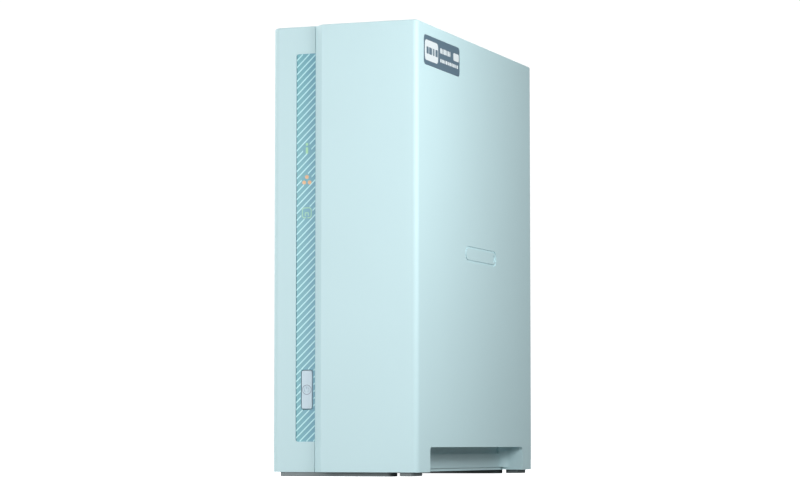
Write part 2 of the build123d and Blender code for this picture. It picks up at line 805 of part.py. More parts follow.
with BuildPart() as buzzer:
    rod((board_face, board_front + 20, board_high - 14), (1, 0, 0), 6.0, 5.5)
    rod((board_face + 1, board_front + 20, board_high - 14), (1, 0, 0), 1.2, 9, Mode.SUBTRACT)
buzzer.part.label = "buzzer"
export_step(buzzer.part, "parts/buzzer.step")

cell_radius = 10.0
cell_thick = 3.2
cell_y = board_front + 44.0
cell_z = board_low + 30.0
with BuildPart() as battery_holder:
    rod((board_face, cell_y, cell_z), (1, 0, 0), cell_radius + 1.8, 4.2)
    rod((board_face + 1.2, cell_y, cell_z), (1, 0, 0), cell_radius + slip, 9, Mode.SUBTRACT)
battery_holder.part.label = "battery_holder"
export_step(battery_holder.part, "parts/battery_holder.step")

with BuildPart() as coin_cell:
    rod((board_face + 1.2, cell_y, cell_z), (1, 0, 0), cell_radius, cell_thick)
    fillet(coin_cell.edges().filter_by(GeomType.CIRCLE), 0.4)
coin_cell.part.label = "coin_cell"
export_step(coin_cell.part, "parts/coin_cell.step")

# Network jack: a shielded box, open to the rear, with the latch slot on its upper side.
jack_wall = 1.4
with BuildPart() as network_jack:
    block(
        (board_face, port_face - jack_deep, jack_z - jack_width / 2),
        (board_face + jack_tall, port_face, jack_z + jack_width / 2),
    )
    block(
        (board_face + 2.4, port_face - jack_deep + 6, jack_z - 5.9),
        (board_face + 2.4 + 6.8, port_face + 1, jack_z + 5.9),
        Mode.SUBTRACT,
    )
    block(
        (board_face + 9, port_face - jack_deep + 6, jack_z - 3.1),
        (board_face + jack_tall - jack_wall, port_face + 1, jack_z + 3.1),
        Mode.SUBTRACT,
    )
network_jack.part.label = "network_jack"
export_step(network_jack.part, "parts/network_jack.step")

# USB ports: a thin steel shell round a plastic tongue.
usb_shell = 0.5
for usb_name, z in (("usb_port_lower", usb_low_z), ("usb_port_upper", usb_high_z)):
    with BuildPart() as usb_port:
        block(
            (board_face, port_face - usb_deep, z - usb_width / 2),
            (board_face + usb_tall, port_face, z + usb_width / 2),
        )
        block(
            (board_face + usb_shell, port_face - usb_deep + 3, z - usb_width / 2 + usb_shell),
            (board_face + usb_tall - usb_shell, port_face + 1, z + usb_width / 2 - usb_shell),
            Mode.SUBTRACT,
        )
        block(
            (board_face + 3.4, port_face - usb_deep + 2, z - 5.6),
            (board_face + 5.2, port_face - 1.2, z + 5.6),
        )
    usb_port.part.label = usb_name
    export_step(usb_port.part, f"parts/{usb_name}.step")

with BuildPart() as power_inlet:
    inlet_x = board_face + inlet_tall / 2
    block(
        (board_face, port_face - inlet_deep, inlet_z - inlet_width / 2),
        (board_face + inlet_tall, port_face, inlet_z + inlet_width / 2),
    )
    rod((inlet_x, port_face - inlet_deep + 3, inlet_z), (0, 1, 0), inlet_bore, inlet_deep, Mode.SUBTRACT)
    rod((inlet_x, port_face - inlet_deep + 2, inlet_z), (0, 1, 0), inlet_pin, inlet_deep - 3)
power_inlet.part.label = "power_inlet"
export_step(power_inlet.part, "parts/power_inlet.step")

# Reset switch, worked with a pin through the panel, and the button that it pushes.
reset_x = board_face + 3
reset_face = panel_front - 2.0
with BuildPart() as reset_switch:
    block((board_face, reset_face - 6, reset_z - 3.5), (board_face + 6, reset_face, reset_z + 3.5))
    rod((reset_x, reset_face - 3.0, reset_z), (0, 1, 0), reset_radius + plunger_gap, 9, Mode.SUBTRACT)
reset_switch.part.label = "reset_switch"
export_step(reset_switch.part, "parts/reset_switch.step")

with BuildPart() as reset_button:
    reset_back = reset_face - 3.0 + reset_travel + 0.1
    rod((reset_x, reset_back, reset_z), (0, 1, 0), reset_radius, panel_front + 0.4 - reset_back)
reset_button.part.label = "reset_button"
export_step(reset_button.part, "parts/reset_button.step")

# Socket board on the tray's posts, its link to the main board, and the drive's socket.
with BuildPart() as socket_board:
    block(
        (socket_board_left, drive_middle - socket_board_half, socket_board_z),
        (socket_board_right, drive_middle + socket_board_half, socket_board_z + board_thick),
    )
    for x, y in tray_posts:
        rod((x, y, socket_board_z - 1), (0, 0, 1), screw_radius + slip, board_thick + 2, Mode.SUBTRACT)
socket_board.part.label = "socket_board"
export_step(socket_board.part, "parts/socket_board.step")

with BuildPart() as socket_board_screws:
    for x, y in tray_posts:
        rod((x, y, socket_board_z + board_thick), (0, 0, 1), screw_head_radius, screw_head)
        rod((x, y, socket_board_z + board_thick), (0, 0, -1), screw_radius, 6.5)
socket_board_screws.part.label = "socket_board_screws"
export_step(socket_board_screws.part, "parts/socket_board_screws.step")

with BuildPart() as board_link:
    block(
        (board_face, drive_middle - 14, socket_board_z + board_thick),
        (socket_board_left + 6.0, drive_middle + 14, socket_board_z + board_thick + 5),
    )
board_link.part.label = "board_link"
export_step(board_link.part, "parts/board_link.step")

plug_x = drive_left + 5.2
plug_half = 21.0
plug_tongue = 1.2
plug_reach = 5.0
with BuildPart() as drive_socket:
    block(
        (plug_x - 3.0, drive_middle - plug_half - 1.5, socket_board_z + board_thick),
        (plug_x + 3.0, drive_middle + plug_half + 1.5, drive_low - 0.4),
    )
    block(
        (plug_x - plug_tongue / 2 - 0.3, drive_middle - plug_half - 0.4, drive_low - plug_reach - 0.8),
        (plug_x + plug_tongue / 2 + 0.3, drive_middle + plug_half + 0.4, drive_low + 1),
        Mode.SUBTRACT,
    )
drive_socket.part.label = "drive_socket"
export_step(drive_socket.part, "parts/drive_socket.step")

# ---------------------------------------------------------------- drive bay

# The sled's hooks pass through the cage's slots and drop behind them.
hook_neck = 8.0
hook_thick = steel
hook_toe = 4.0
hook_ys = (cage_front + 22.0, cage_back - 22.0)
hook_zs = (drive_low + 36.0, drive_low + drive_long - 40.0)
hook_gap = 0.4

with BuildPart() as drive_cage:
    block((cage_left, cage_front, cage_low), (cage_right, cage_back, cage_high))
    fillet(drive_cage.edges().filter_by(Axis.X), 3.0)
    for y in hook_ys:
        for z in hook_zs:
            block(
                (cage_left - 1, y - hook_thick / 2 - hook_gap, z - hook_toe - hook_gap),
                (cage_right + 1, y + hook_thick / 2 + hook_gap, z + hook_neck + drive_travel + hook_gap),
                Mode.SUBTRACT,
            )
    window_half = (cage_back - cage_front) / 2 - 34.0
    block(
        (cage_left - 1, drive_middle - window_half, cage_low + 14.0),
        (cage_right + 1, drive_middle + window_half, cage_high - 30.0),
        Mode.SUBTRACT,
    )
    for y, z in cage_holes:
        rod((cage_left - 1, y, z), (1, 0, 0), screw_radius + slip, steel + 2, Mode.SUBTRACT)
drive_cage.part.label = "drive_cage"
export_step(drive_cage.part, "parts/drive_cage.step")

cage_screw_head = 1.2
with BuildPart() as cage_screws:
    for y, z in cage_holes:
        rod((cage_right, y, z), (1, 0, 0), screw_head_radius, cage_screw_head)
        rod((cage_right, y, z), (-1, 0, 0), screw_radius, 7.5)
cage_screws.part.label = "cage_screws"
export_step(cage_screws.part, "parts/cage_screws.step")

# Sled: a steel plate beside the drive, with a flange along each of the drive's long edges.
flange_reach = 13.0
sled_low = drive_low + 2.0
sled_high = drive_low + drive_long - 4.0
sled_front = drive_front - grommet_collar - steel
sled_back = drive_back + grommet_collar + steel
grommet_radius = 3.4
grommet_lip = 1.6
shank_radius = 1.6
side_holes_z = [drive_low + side_hole_first + side_hole_pitch * step for step in range(2)]
side_hole_x = drive_left + side_hole_rise
with BuildPart() as drive_sled:
    block((sled_left, sled_front, sled_low), (sled_right, sled_back, sled_high))
    block(
        (sled_left - 1, drive_front + 14.0, sled_low + 40.0),
        (sled_right + 1, drive_back - 14.0, sled_high - 50.0),
        Mode.SUBTRACT,
    )
    for low_y in (sled_front, sled_back - steel):
        block((sled_left, low_y, sled_low), (side_hole_x + flange_reach / 2, low_y + steel, sled_high))
    for y in hook_ys:
        for z in hook_zs:
            neck_left = cage_left - hook_gap - hook_reach
            block((neck_left, y - hook_thick / 2, z), (sled_left + 0.1, y + hook_thick / 2, z + hook_neck))
            block(
                (neck_left, y - hook_thick / 2, z - hook_toe),
                (neck_left + hook_reach, y + hook_thick / 2, z + hook_neck),
            )
    for z in side_holes_z:
        hole_length = sled_back - sled_front + 2
        rod((side_hole_x, sled_front - 1, z), (0, 1, 0), grommet_radius, hole_length, Mode.SUBTRACT)
drive_sled.part.label = "drive_sled"
export_step(drive_sled.part, "parts/drive_sled.step")

# Rubber grommets in the sled's flanges, and the shouldered screws through them.
with BuildPart() as sled_grommets:
    for z in side_holes_z:
        for y, outward in ((drive_front, -1), (drive_back, 1)):
            outer_y = y + outward * (grommet_collar + steel)
            rod((side_hole_x, y, z), (0, outward, 0), grommet_radius + grommet_lip, grommet_collar)
            rod((side_hole_x, y, z), (0, outward, 0), grommet_radius, 2 * grommet_collar + steel)
            rod((side_hole_x, outer_y, z), (0, outward, 0), grommet_radius + grommet_lip, 1)
            rod((side_hole_x, y, z), (0, outward, 0), shank_radius, 9, Mode.SUBTRACT)
sled_grommets.part.label = "sled_grommets"
export_step(sled_grommets.part, "parts/sled_grommets.step")

with BuildPart() as drive_screws:
    for z in side_holes_z:
        for y, outward in ((drive_front, -1), (drive_back, 1)):
            head_y = y + outward * (2 * grommet_collar + steel)
            rod((side_hole_x, head_y, z), (0, outward, 0), 3.2, 1.2)
            shank_length = 2 * grommet_collar + steel + 3
            rod((side_hole_x, head_y, z), (0, -outward, 0), shank_radius - 0.05, shank_length)
drive_screws.part.label = "drive_screws"
export_step(drive_screws.part, "parts/drive_screws.step")

# Drive: cast body, pressed lid, circuit board on its inner side, and plug at its lower end.
lid_thick = 1.4
disc_radius = 46.0
chamber_deep = 15.0
drive_board_thick = 1.3
drive_board_high = 62.0
with BuildPart() as drive_casting:
    block(
        (drive_left + drive_board_thick, drive_front, drive_low),
        (drive_right - lid_thick, drive_back, drive_low + drive_long),
    )
    fillet(drive_casting.edges().filter_by(Axis.X), 2.5)
    for z in side_holes_z:
        for y, inward in ((drive_front, 1), (drive_back, -1)):
            rod((side_hole_x, y, z), (0, inward, 0), shank_radius, 4, Mode.SUBTRACT)
    rod(
        (drive_left + drive_board_thick, drive_middle, drive_low + drive_long - disc_radius - 4),
        (1, 0, 0),
        16.0,
        1.0,
        Mode.SUBTRACT,
    )
    # Chamber for the discs and the arm, closed by the lid.
    with BuildSketch(Plane.YZ.offset(drive_right - lid_thick)):
        with Locations((drive_middle, drive_low + drive_long - disc_radius - 6)):
            Circle(disc_radius)
        with Locations((drive_middle, drive_low + 32)):
            Rectangle(62.0, 44.0)
    extrude(amount=-chamber_deep, mode=Mode.SUBTRACT)
    block(
        (drive_left, drive_middle - plug_half - 1, drive_low - 1),
        (plug_x + 2.6, drive_middle + plug_half + 1, drive_low + 6),
        Mode.SUBTRACT,
    )
drive_casting.part.label = "drive_casting"
export_step(drive_casting.part, "parts/drive_casting.step")

with BuildPart() as drive_lid:
    with BuildSketch(Plane.YZ.offset(drive_right - lid_thick)):
        with Locations((drive_middle, drive_low + drive_long / 2)):
            RectangleRounded(drive_wide - 3.0, drive_long - 4.0, 4.0)
    extrude(amount=lid_thick - 0.5)
    with BuildSketch(Plane.YZ.offset(drive_right - 0.6)):
        with Locations((drive_middle, drive_low + drive_long - disc_radius - 6)):
            Circle(disc_radius - 1)
        with Locations((drive_middle, drive_low + 30)):
            RectangleRounded(60.0, 42.0, 8.0)
    extrude(amount=0.6)
drive_lid.part.label = "drive_lid"
export_step(drive_lid.part, "parts/drive_lid.step")

with BuildPart() as drive_board:
    block(
        (drive_left, drive_front + 4, drive_low + 7),
        (drive_left + drive_board_thick, drive_back - 4, drive_low + drive_board_high),
    )
drive_board.part.label = "drive_board"
export_step(drive_board.part, "parts/drive_board.step")

with BuildPart() as drive_plug:
    block(
        (drive_left + 1.5, drive_middle - plug_half - 0.8, drive_low + 0.2),
        (plug_x + 2.4, drive_middle + plug_half + 0.8, drive_low + 5.8),
    )
    for low_y, high_y in ((-plug_half, 2.0), (5.0, plug_half)):
        block(
            (plug_x - plug_tongue / 2, drive_middle + low_y, drive_low - plug_reach),
            (plug_x + plug_tongue / 2, drive_middle + high_y, drive_low + 1),
        )
drive_plug.part.label = "drive_plug"
export_step(drive_plug.part, "parts/drive_plug.step")

# ---------------------------------------------------------------- fan

fan_front = panel_front - fan_thick
spider_thick = 1.6
motor_radius = 10.5
bearing_radius = 3.2
bearing_front = fan_front + 2.6
with BuildPart() as fan_frame:
    with BuildSketch(Plane.XZ.offset(-panel_front)):
        with Locations((fan_x, fan_z)):
            RectangleRounded(fan_size, fan_size, 3.0)
            Circle(fan_bore_radius, mode=Mode.SUBTRACT)
            with GridLocations(fan_hole_pitch, fan_hole_pitch, 2, 2):
                Circle(screw_radius + thread_gap, mode=Mode.SUBTRACT)
    extrude(amount=fan_thick)
    with BuildSketch(Plane.XZ.offset(-panel_front)):
        with Locations((fan_x, fan_z)):
            Circle(motor_radius)
            with PolarLocations((fan_bore_radius + motor_radius) / 2, 3, start_angle=30):
                Rectangle(fan_bore_radius - motor_radius + 2, 2.6)
            Circle(bearing_radius, mode=Mode.SUBTRACT)
    extrude(amount=spider_thick)
fan_frame.part.label = "fan_frame"
export_step(fan_frame.part, "parts/fan_frame.step")

with BuildPart() as fan_bearing:
    rod((fan_x, panel_front, fan_z), (0, -1, 0), bearing_radius, panel_front - bearing_front)
    bore_radius = fan_shaft_radius + bearing_gap
    rod((fan_x, panel_front - 0.5, fan_z), (0, -1, 0), bore_radius, fan_thick, Mode.SUBTRACT)
fan_bearing.part.label = "fan_bearing"
export_step(fan_bearing.part, "parts/fan_bearing.step")

with BuildPart() as fan_coil:
    rod((fan_x, panel_front - spider_thick - 0.6, fan_z), (0, -1, 0), hub_radius - 3.0, 3.6)
    rod((fan_x, panel_front, fan_z), (0, -1, 0), bearing_radius, fan_thick, Mode.SUBTRACT)
fan_coil.part.label = "fan_coil"
export_step(fan_coil.part, "parts/fan_coil.step")

with BuildPart() as fan_screws:
    for x in (fan_x - fan_hole_pitch / 2, fan_x + fan_hole_pitch / 2):
        for z in (fan_z - fan_hole_pitch / 2, fan_z + fan_hole_pitch / 2):
            rod((x, panel_back, z), (0, 1, 0), screw_head_radius, screw_head)
            rod((x, panel_back, z), (0, -1, 0), screw_radius, wall + 6.5)
            for half_x, half_z in screw_cross:
                low = (x - half_x, panel_back + screw_head - screw_drive_depth, z - half_z)
                block(low, (x + half_x, panel_back + screw_head + 1, z + half_z), Mode.SUBTRACT)
fan_screws.part.label = "fan_screws"
export_step(fan_screws.part, "parts/fan_screws.step")

# Rotor: a cup over the coil with the blades on it; the magnet ring lines the cup.
cup_front = fan_front + 0.6
cup_back = panel_front - spider_thick - 0.5
cup_wall = 1.0
cup_crown = 1.2
cup_radius = hub_radius + 0.6
cup_inside = cup_radius - cup_wall
magnet_thick = 1.2
magnet_length = 4.4
blade_pitch = 38.0
blade_chord = 8.4
blade_thick = 1.1
with BuildPart() as fan_rotor:
    rod((fan_x, cup_front, fan_z), (0, 1, 0), cup_radius, cup_back - cup_front)
    blade_reach = blade_tip_radius - hub_radius + 1
    with Locations(Plane(origin=(fan_x, (cup_front + cup_back) / 2, fan_z), z_dir=(0, 1, 0)).location):
        with PolarLocations(hub_radius - 0.5, blade_count):
            with Locations(Location((0, 0, 0), (blade_pitch, 0, 0))):
                Box(blade_reach, blade_chord, blade_thick, align=(Align.MIN, Align.CENTER, Align.CENTER))
    rod((fan_x, cup_front - 2, fan_z), (0, 1, 0), blade_tip_radius, fan_thick + 4, Mode.INTERSECT)
    rod((fan_x, cup_front + cup_crown, fan_z), (0, 1, 0), cup_inside, fan_thick, Mode.SUBTRACT)
fan_rotor.part.label = "fan_rotor"
export_step(fan_rotor.part, "parts/fan_rotor.step")

with BuildPart() as fan_magnet:
    rod((fan_x, cup_front + cup_crown, fan_z), (0, 1, 0), cup_inside, magnet_length)
    rod((fan_x, cup_front + cup_crown, fan_z), (0, 1, 0), cup_inside - magnet_thick, fan_thick, Mode.SUBTRACT)
fan_magnet.part.label = "fan_magnet"
export_step(fan_magnet.part, "parts/fan_magnet.step")

with BuildPart() as fan_shaft:
    shaft_length = panel_front - 0.8 - cup_front - cup_crown
    rod((fan_x, cup_front + cup_crown, fan_z), (0, 1, 0), fan_shaft_radius, shaft_length)
fan_shaft.part.label = "fan_shaft"
export_step(fan_shaft.part, "parts/fan_shaft.step")

# Fan lead: one sleeved cable from the frame's corner down to its header on the main board.
lead_radius = 1.3
header_y = board_back - 35.0
header_z = board_high - 8.0
header_tall = 6.0
lead_start = Vector(fan_x - fan_size / 2 + 4.0, fan_front, fan_z - fan_size / 2 + 8.0)
lead_end = Vector(board_face + header_tall + 5.0, header_y, header_z)
with BuildPart() as fan_header:
    block(
        (board_face, header_y - 4.5, header_z - 3),
        (board_face + header_tall, header_y + 4.5, header_z + 3),
    )
fan_header.part.label = "fan_header"
export_step(fan_header.part, "parts/fan_header.step")

with BuildPart() as fan_plug:
    block(
        (board_face + header_tall, header_y - 3.8, header_z - 2.4),
        (board_face + header_tall + 5, header_y + 3.8, header_z + 2.4),
    )
fan_plug.part.label = "fan_plug"
export_step(fan_plug.part, "parts/fan_plug.step")

with BuildPart() as fan_lead:
    with BuildLine() as lead_route:
        FilletPolyline(
            (lead_start.X, lead_start.Y, lead_start.Z),
            (lead_start.X, lead_start.Y - 12, lead_start.Z),
            (lead_start.X + 1, header_y - 1, (lead_start.Z + header_z) / 2 + 2),
            (lead_end.X + 7, header_y, header_z),
            (lead_end.X, header_y, header_z),
            radius=3.0,
        )
    with BuildSketch(Plane(origin=lead_route.line @ 0, z_dir=lead_route.line % 0)):
        Circle(lead_radius)
    sweep()
fan_lead.part.label = "fan_lead"
export_step(fan_lead.part, "parts/fan_lead.step")

print("fan lead length", round(lead_route.wires()[0].length, 1))
print("main board face x", round(board_face, 3), "sockets end y", round(port_face, 3))
print("drive x", round(drive_left, 3), round(drive_right, 3))
print("drive y", round(drive_front, 3), round(drive_back, 3))
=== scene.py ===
"""A one-bay network storage box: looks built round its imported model, in metres."""
import math
import random

import bmesh
import bpy
from mathutils import Matrix, Vector


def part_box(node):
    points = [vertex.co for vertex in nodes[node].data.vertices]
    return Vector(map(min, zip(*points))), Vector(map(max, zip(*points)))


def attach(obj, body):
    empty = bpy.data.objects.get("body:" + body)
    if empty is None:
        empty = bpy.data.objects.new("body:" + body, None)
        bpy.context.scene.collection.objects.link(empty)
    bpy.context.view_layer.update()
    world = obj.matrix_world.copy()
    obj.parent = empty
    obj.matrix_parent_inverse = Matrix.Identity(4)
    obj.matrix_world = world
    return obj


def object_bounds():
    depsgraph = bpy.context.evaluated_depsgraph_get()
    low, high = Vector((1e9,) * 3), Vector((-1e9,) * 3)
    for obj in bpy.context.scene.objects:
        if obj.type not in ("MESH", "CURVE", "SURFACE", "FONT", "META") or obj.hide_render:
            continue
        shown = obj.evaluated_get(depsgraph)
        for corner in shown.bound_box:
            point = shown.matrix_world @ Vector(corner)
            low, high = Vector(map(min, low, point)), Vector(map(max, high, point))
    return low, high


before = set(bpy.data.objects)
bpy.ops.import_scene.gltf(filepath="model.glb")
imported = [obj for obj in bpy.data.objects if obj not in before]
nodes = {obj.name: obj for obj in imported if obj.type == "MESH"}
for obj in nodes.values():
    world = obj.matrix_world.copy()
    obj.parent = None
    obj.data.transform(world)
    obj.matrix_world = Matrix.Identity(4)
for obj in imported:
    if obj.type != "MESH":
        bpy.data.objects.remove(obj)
cad_low, cad_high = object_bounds()
MM = 0.001


# ---------------------------------------------------------------- housing
# The left shell and the sliding cover are two injection mouldings in pale blue ABS, with the
# base tray and the rear panel in the same plastic. The tools were spark eroded, which leaves
# an even, very fine grain and a soft satin shine.

def linear(hex_colour):
    """Turns an sRGB hex colour into the linear RGBA that the shaders take."""
    channels = [int(hex_colour[i:i + 2], 16) / 255 for i in (1, 3, 5)]
    return [c / 12.92 if c <= 0.04045 else ((c + 0.055) / 1.055) ** 2.4 for c in channels] + [1.0]


def add(material, kind, settings=None, links=None):
    """Adds a shader node, sets its sockets or properties, and links outputs into it.

    A socket goes by its name, or by its number where names repeat. In a Map Range 1 and 2 are the
    span that is read, and 3 and 4 the span that comes out. In a colour Mix 0 is the share, and 6
    and 7 are the two colours. In Math 0, 1 and 2 are the terms.
    """
    shader = material.node_tree.nodes.new(kind)
    for name, value in (settings or {}).items():
        if isinstance(name, int) or name in shader.inputs:
            shader.inputs[name].default_value = value
        else:
            setattr(shader, name, value)
    for name, source in (links or {}).items():
        material.node_tree.links.new(source, shader.inputs[name])
    return shader


def surface(name, **settings):
    """A new material with one Principled shader, and the object coordinates to hang patterns on."""
    material = bpy.data.materials.new(name)
    material.use_nodes = True
    shader = material.node_tree.nodes["Principled BSDF"]
    for socket, value in settings.items():
        shader.inputs[socket.replace("_", " ")].default_value = value
    place = add(material, "ShaderNodeTexCoord").outputs["Object"]
    return material, shader, place


def moulded(name, colour, grain_mm, roughness, tint=0.03, depth_mm=0.01, **settings):
    """Injection moulded plastic: even colour with a faint drift, and the grain of an eroded tool."""
    material, shader, place = surface(name, **settings)
    links = material.node_tree.links
    slow = {"Scale": 1 / (40 * MM), "Detail": 2.0}
    drift = add(material, "ShaderNodeTexNoise", slow, {"Vector": place})
    deep = [c * (1 - tint) for c in linear(colour)[:3]] + [1.0]
    colours = {"data_type": "RGBA", 6: deep, 7: linear(colour)}
    mix = add(material, "ShaderNodeMix", colours, {0: drift.outputs[0]})
    links.new(mix.outputs[2], shader.inputs["Base Color"])
    sized = {"Scale": 1 / (grain_mm * MM), "Detail": 3.0}
    grain = add(material, "ShaderNodeTexNoise", sized, {"Vector": place})
    satin = {3: roughness - 0.04, 4: roughness + 0.05}
    wear = add(material, "ShaderNodeMapRange", satin, {0: grain.outputs[0]})
    links.new(wear.outputs[0], shader.inputs["Roughness"])
    depth = {"Strength": 0.5, "Distance": depth_mm * MM}
    bump = add(material, "ShaderNodeBump", depth, {"Height": grain.outputs[0]})
    links.new(bump.outputs[0], shader.inputs["Normal"])
    return material


def dress(material, *names):
    """Gives CAD nodes their finish."""
    for name in names:
        nodes[name].data.materials.clear()
        nodes[name].data.materials.append(material)


housing_plastic = moulded("moulded_pale_blue_abs", "#CDEBF0", grain_mm=0.35, roughness=0.52, IOR=1.5)
dress(housing_plastic, "left_shell", "side_cover", "base_tray", "rear_panel")


# ---------------------------------------------------------------- status window
# A clear polycarbonate strip let into the front, printed on its back in teal blue. The pale
# slanting lines are a second print; they stop short of the edge, the marks and the button.

window_low, window_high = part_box("status_window")


def piece(name, mesh_tool, material, body):
    """Turns a bmesh into an object that rides on a body."""
    mesh = bpy.data.meshes.new(name)
    bmesh.ops.recalc_face_normals(mesh_tool, faces=mesh_tool.faces[:])
    mesh_tool.to_mesh(mesh)
    mesh_tool.free()
    mesh.materials.append(material)
    made = bpy.data.objects.new(name, mesh)
    bpy.context.scene.collection.objects.link(made)
    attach(made, body)
    return made


def printed_film():
    """Teal print seen through clear polycarbonate: glossy, deeper towards the seam and at its rim."""
    material, shader, place = surface("printed_polycarbonate", Roughness=0.16, IOR=1.58)
    split = add(material, "ShaderNodeSeparateXYZ", links={0: place})
    width = {1: window_low.x, 2: window_high.x}
    across = add(material, "ShaderNodeMapRange", width, {0: split.outputs[0]})
    uneven = {"Scale": 1 / (9 * MM), "Detail": 3.0}
    cloud = add(material, "ShaderNodeTexNoise", uneven, {"Vector": place})
    quarter = {"operation": "MULTIPLY_ADD", 1: 0.25}
    clouded = add(material, "ShaderNodeMath", quarter, {0: cloud.outputs[0], 2: across.outputs[0]})
    ramp = add(material, "ShaderNodeValToRGB", links={0: clouded.outputs[0]})
    ramp.color_ramp.elements[0].color = linear("#82C0C8")
    ramp.color_ramp.elements[1].color = linear("#7EB6CA")
    # The pocket's wall throws a thin shadow along the left rim.
    rim_span = {1: window_low.x + 0.1 * MM, 2: window_low.x + 0.5 * MM, 3: 1.0, 4: 0.0}
    rim = add(material, "ShaderNodeMapRange", rim_span, {0: split.outputs[0]})
    shadowed = {"data_type": "RGBA", "blend_type": "MULTIPLY", 7: linear("#AEBFCF")}
    edged = add(material, "ShaderNodeMix", shadowed, {0: rim.outputs[0], 6: ramp.outputs[0]})
    material.node_tree.links.new(edged.outputs[2], shader.inputs["Base Color"])
    return material


dress(printed_film(), "status_window")

# The stripes: how far apart and how wide they are, how steeply they climb, where the first one
# crosses the middle of the box, and how far they stay from the window's rims and from the marks.
line_pitch = 2.933 * MM
line_width = 0.52 * MM
line_rise = 0.965
line_upright = line_width * 1.39
line_phase = 2.09 * MM
line_margin, seam_margin = 0.12 * MM, 0.05 * MM
line_proud = 0.02 * MM
shortest_line = 0.3 * MM
line_steps = 160
mark_reach = {"status_mark": 2.0 * MM, "network_mark": 2.4 * MM, "drive_mark": 2.7 * MM}
mark_clear = 0.15 * MM
# The cap is the part of the button that shows, one flange in from the button's own box.
cap_inset = 0.55 * MM


def ellipses_round_marks():
    """The ellipses that the stripes stop at: each one's centre and half sizes."""
    ellipses = []
    for name, reach in mark_reach.items():
        low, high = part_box(name)
        ellipses.append(((low.x + high.x) / 2, (low.z + high.z) / 2, reach, reach + mark_clear))
    return ellipses


def is_bare(x, z):
    """Whether a place on the window is clear of its rims, of the marks and of the button."""
    inside_x = button_low.x + cap_inset < x < button_high.x - cap_inset
    inside_z = button_low.z + cap_inset < z < button_high.z - cap_inset
    bare = window_low.z + line_margin < z < window_high.z - line_margin
    for centre_x, centre_z, half_x, half_z in mark_ellipses:
        bare = bare and ((x - centre_x) / half_x) ** 2 + ((z - centre_z) / half_z) ** 2 > 1
    return bare and not (inside_x and inside_z)


def line_spans(offset, left_x, right_x):
    """The stretches of one stripe that lie on bare window."""
    spans, start = [], None
    for step in range(line_steps + 1):
        x = left_x + (right_x - left_x) * step / line_steps
        bare = is_bare(x, line_rise * x + offset)
        if bare and start is None:
            start = x
        if start is not None and (not bare or step == line_steps):
            spans.append((start, x))
            start = None
    return [(a, b) for a, b in spans if b - a > shortest_line]


mark_ellipses = ellipses_round_marks()
button_low, button_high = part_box("power_button")
stripes = bmesh.new()
offset = line_phase
while offset < window_high.z - line_rise * window_low.x + line_pitch:
    left_x = window_low.x + line_margin
    right_x = window_high.x - seam_margin
    for start, end in line_spans(offset, left_x, right_x):
        length = end - start
        middle = (start + end) / 2
        # A unit cube sheared along the slope, standing just proud of the window's face.
        bar = Matrix((
            (length, 0, 0, middle),
            (0, 2 * line_proud, 0, window_low.y),
            (line_rise * length, 0, line_upright, line_rise * middle + offset),
            (0, 0, 0, 1),
        ))
        bmesh.ops.create_cube(stripes, size=1.0, matrix=bar)
    offset += line_pitch
pale_ink = moulded("screen_printed_pale_ink", "#C4F3F8", 0.12, 0.25, tint=0.02, depth_mm=0.002)
piece("window_stripes", stripes, pale_ink, "root")


# ---------------------------------------------------------------- marks
# Three tinted polycarbonate inlays that lamps light from behind: status and drive in green,
# network in orange. They are moulded clear; each has a faint painted glow for its lamp's light.

def inlay(name, colour, painted_glow):
    """Tinted translucent plastic with a lamp behind it, whose light is a painted glow."""
    material = moulded(name, colour, grain_mm=0.2, roughness=0.3, tint=0.05, depth_mm=0.002, IOR=1.58)
    shader = material.node_tree.nodes["Principled BSDF"]
    # The emission is a painted glow, standing in for the lit lamp behind the mark.
    shader.inputs["Emission Color"].default_value = linear(colour)
    shader.inputs["Emission Strength"].default_value = painted_glow
    return material


dress(inlay("lit_green_polycarbonate", "#9BD0A4", 0.15), "status_mark")
dress(inlay("lit_orange_polycarbonate", "#E2B17D", 0.1), "network_mark")
dress(inlay("pale_green_polycarbonate", "#98CFB8", 0.1), "drive_mark")


# ---------------------------------------------------------------- power button
# A pale ABS cap that slides in the window, glossier than the case, with the power sign cut into
# its face. A grey ring is pad printed round the sign: here a flat ring, turned from its section.

cap_plastic = moulded("moulded_grey_blue_abs", "#CBE0EC", grain_mm=0.3, roughness=0.36, IOR=1.53)
dress(cap_plastic, "power_button")

button_x, button_z = (button_low.x + button_high.x) / 2, (button_low.z + button_high.z) / 2
ring_radius, ring_wide, ring_thick = 1.95 * MM, 0.3 * MM, 0.04 * MM
ring = bmesh.new()
bmesh.ops.create_grid(ring, x_segments=1, y_segments=1, size=0.5)
bmesh.ops.scale(ring, vec=(ring_wide, ring_thick, 1), verts=ring.verts)
section_place = (button_x + ring_radius, button_low.y + ring_thick / 4, button_z)
bmesh.ops.translate(ring, vec=section_place, verts=ring.verts)
bmesh.ops.delete(ring, geom=ring.faces[:], context="FACES_ONLY")
bmesh.ops.spin(
    ring, geom=ring.verts[:] + ring.edges[:], cent=(button_x, 0, button_z), axis=(0, 1, 0),
    angle=math.tau, steps=64, use_merge=True,
)
grey_ink = moulded("pad_printed_grey_ink", "#8FA0B2", 0.12, 0.4, tint=0.02, depth_mm=0.002)
piece("power_button_ring", ring, grey_ink, "power_button")


# ---------------------------------------------------------------- label
# A slate blue polyester label in a shallow pocket of the cover, printed in white: a rounded
# panel, two rows of plain bars, and a small badge. No lettering.

label_low, label_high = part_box("product_label")
slate_film = moulded("printed_slate_film", "#5F7889", 0.15, 0.33, depth_mm=0.002)
dress(slate_film, "product_label")
white_ink = moulded("screen_printed_white_ink", "#E9F3F6", 0.12, 0.35, tint=0.02, depth_mm=0.002)


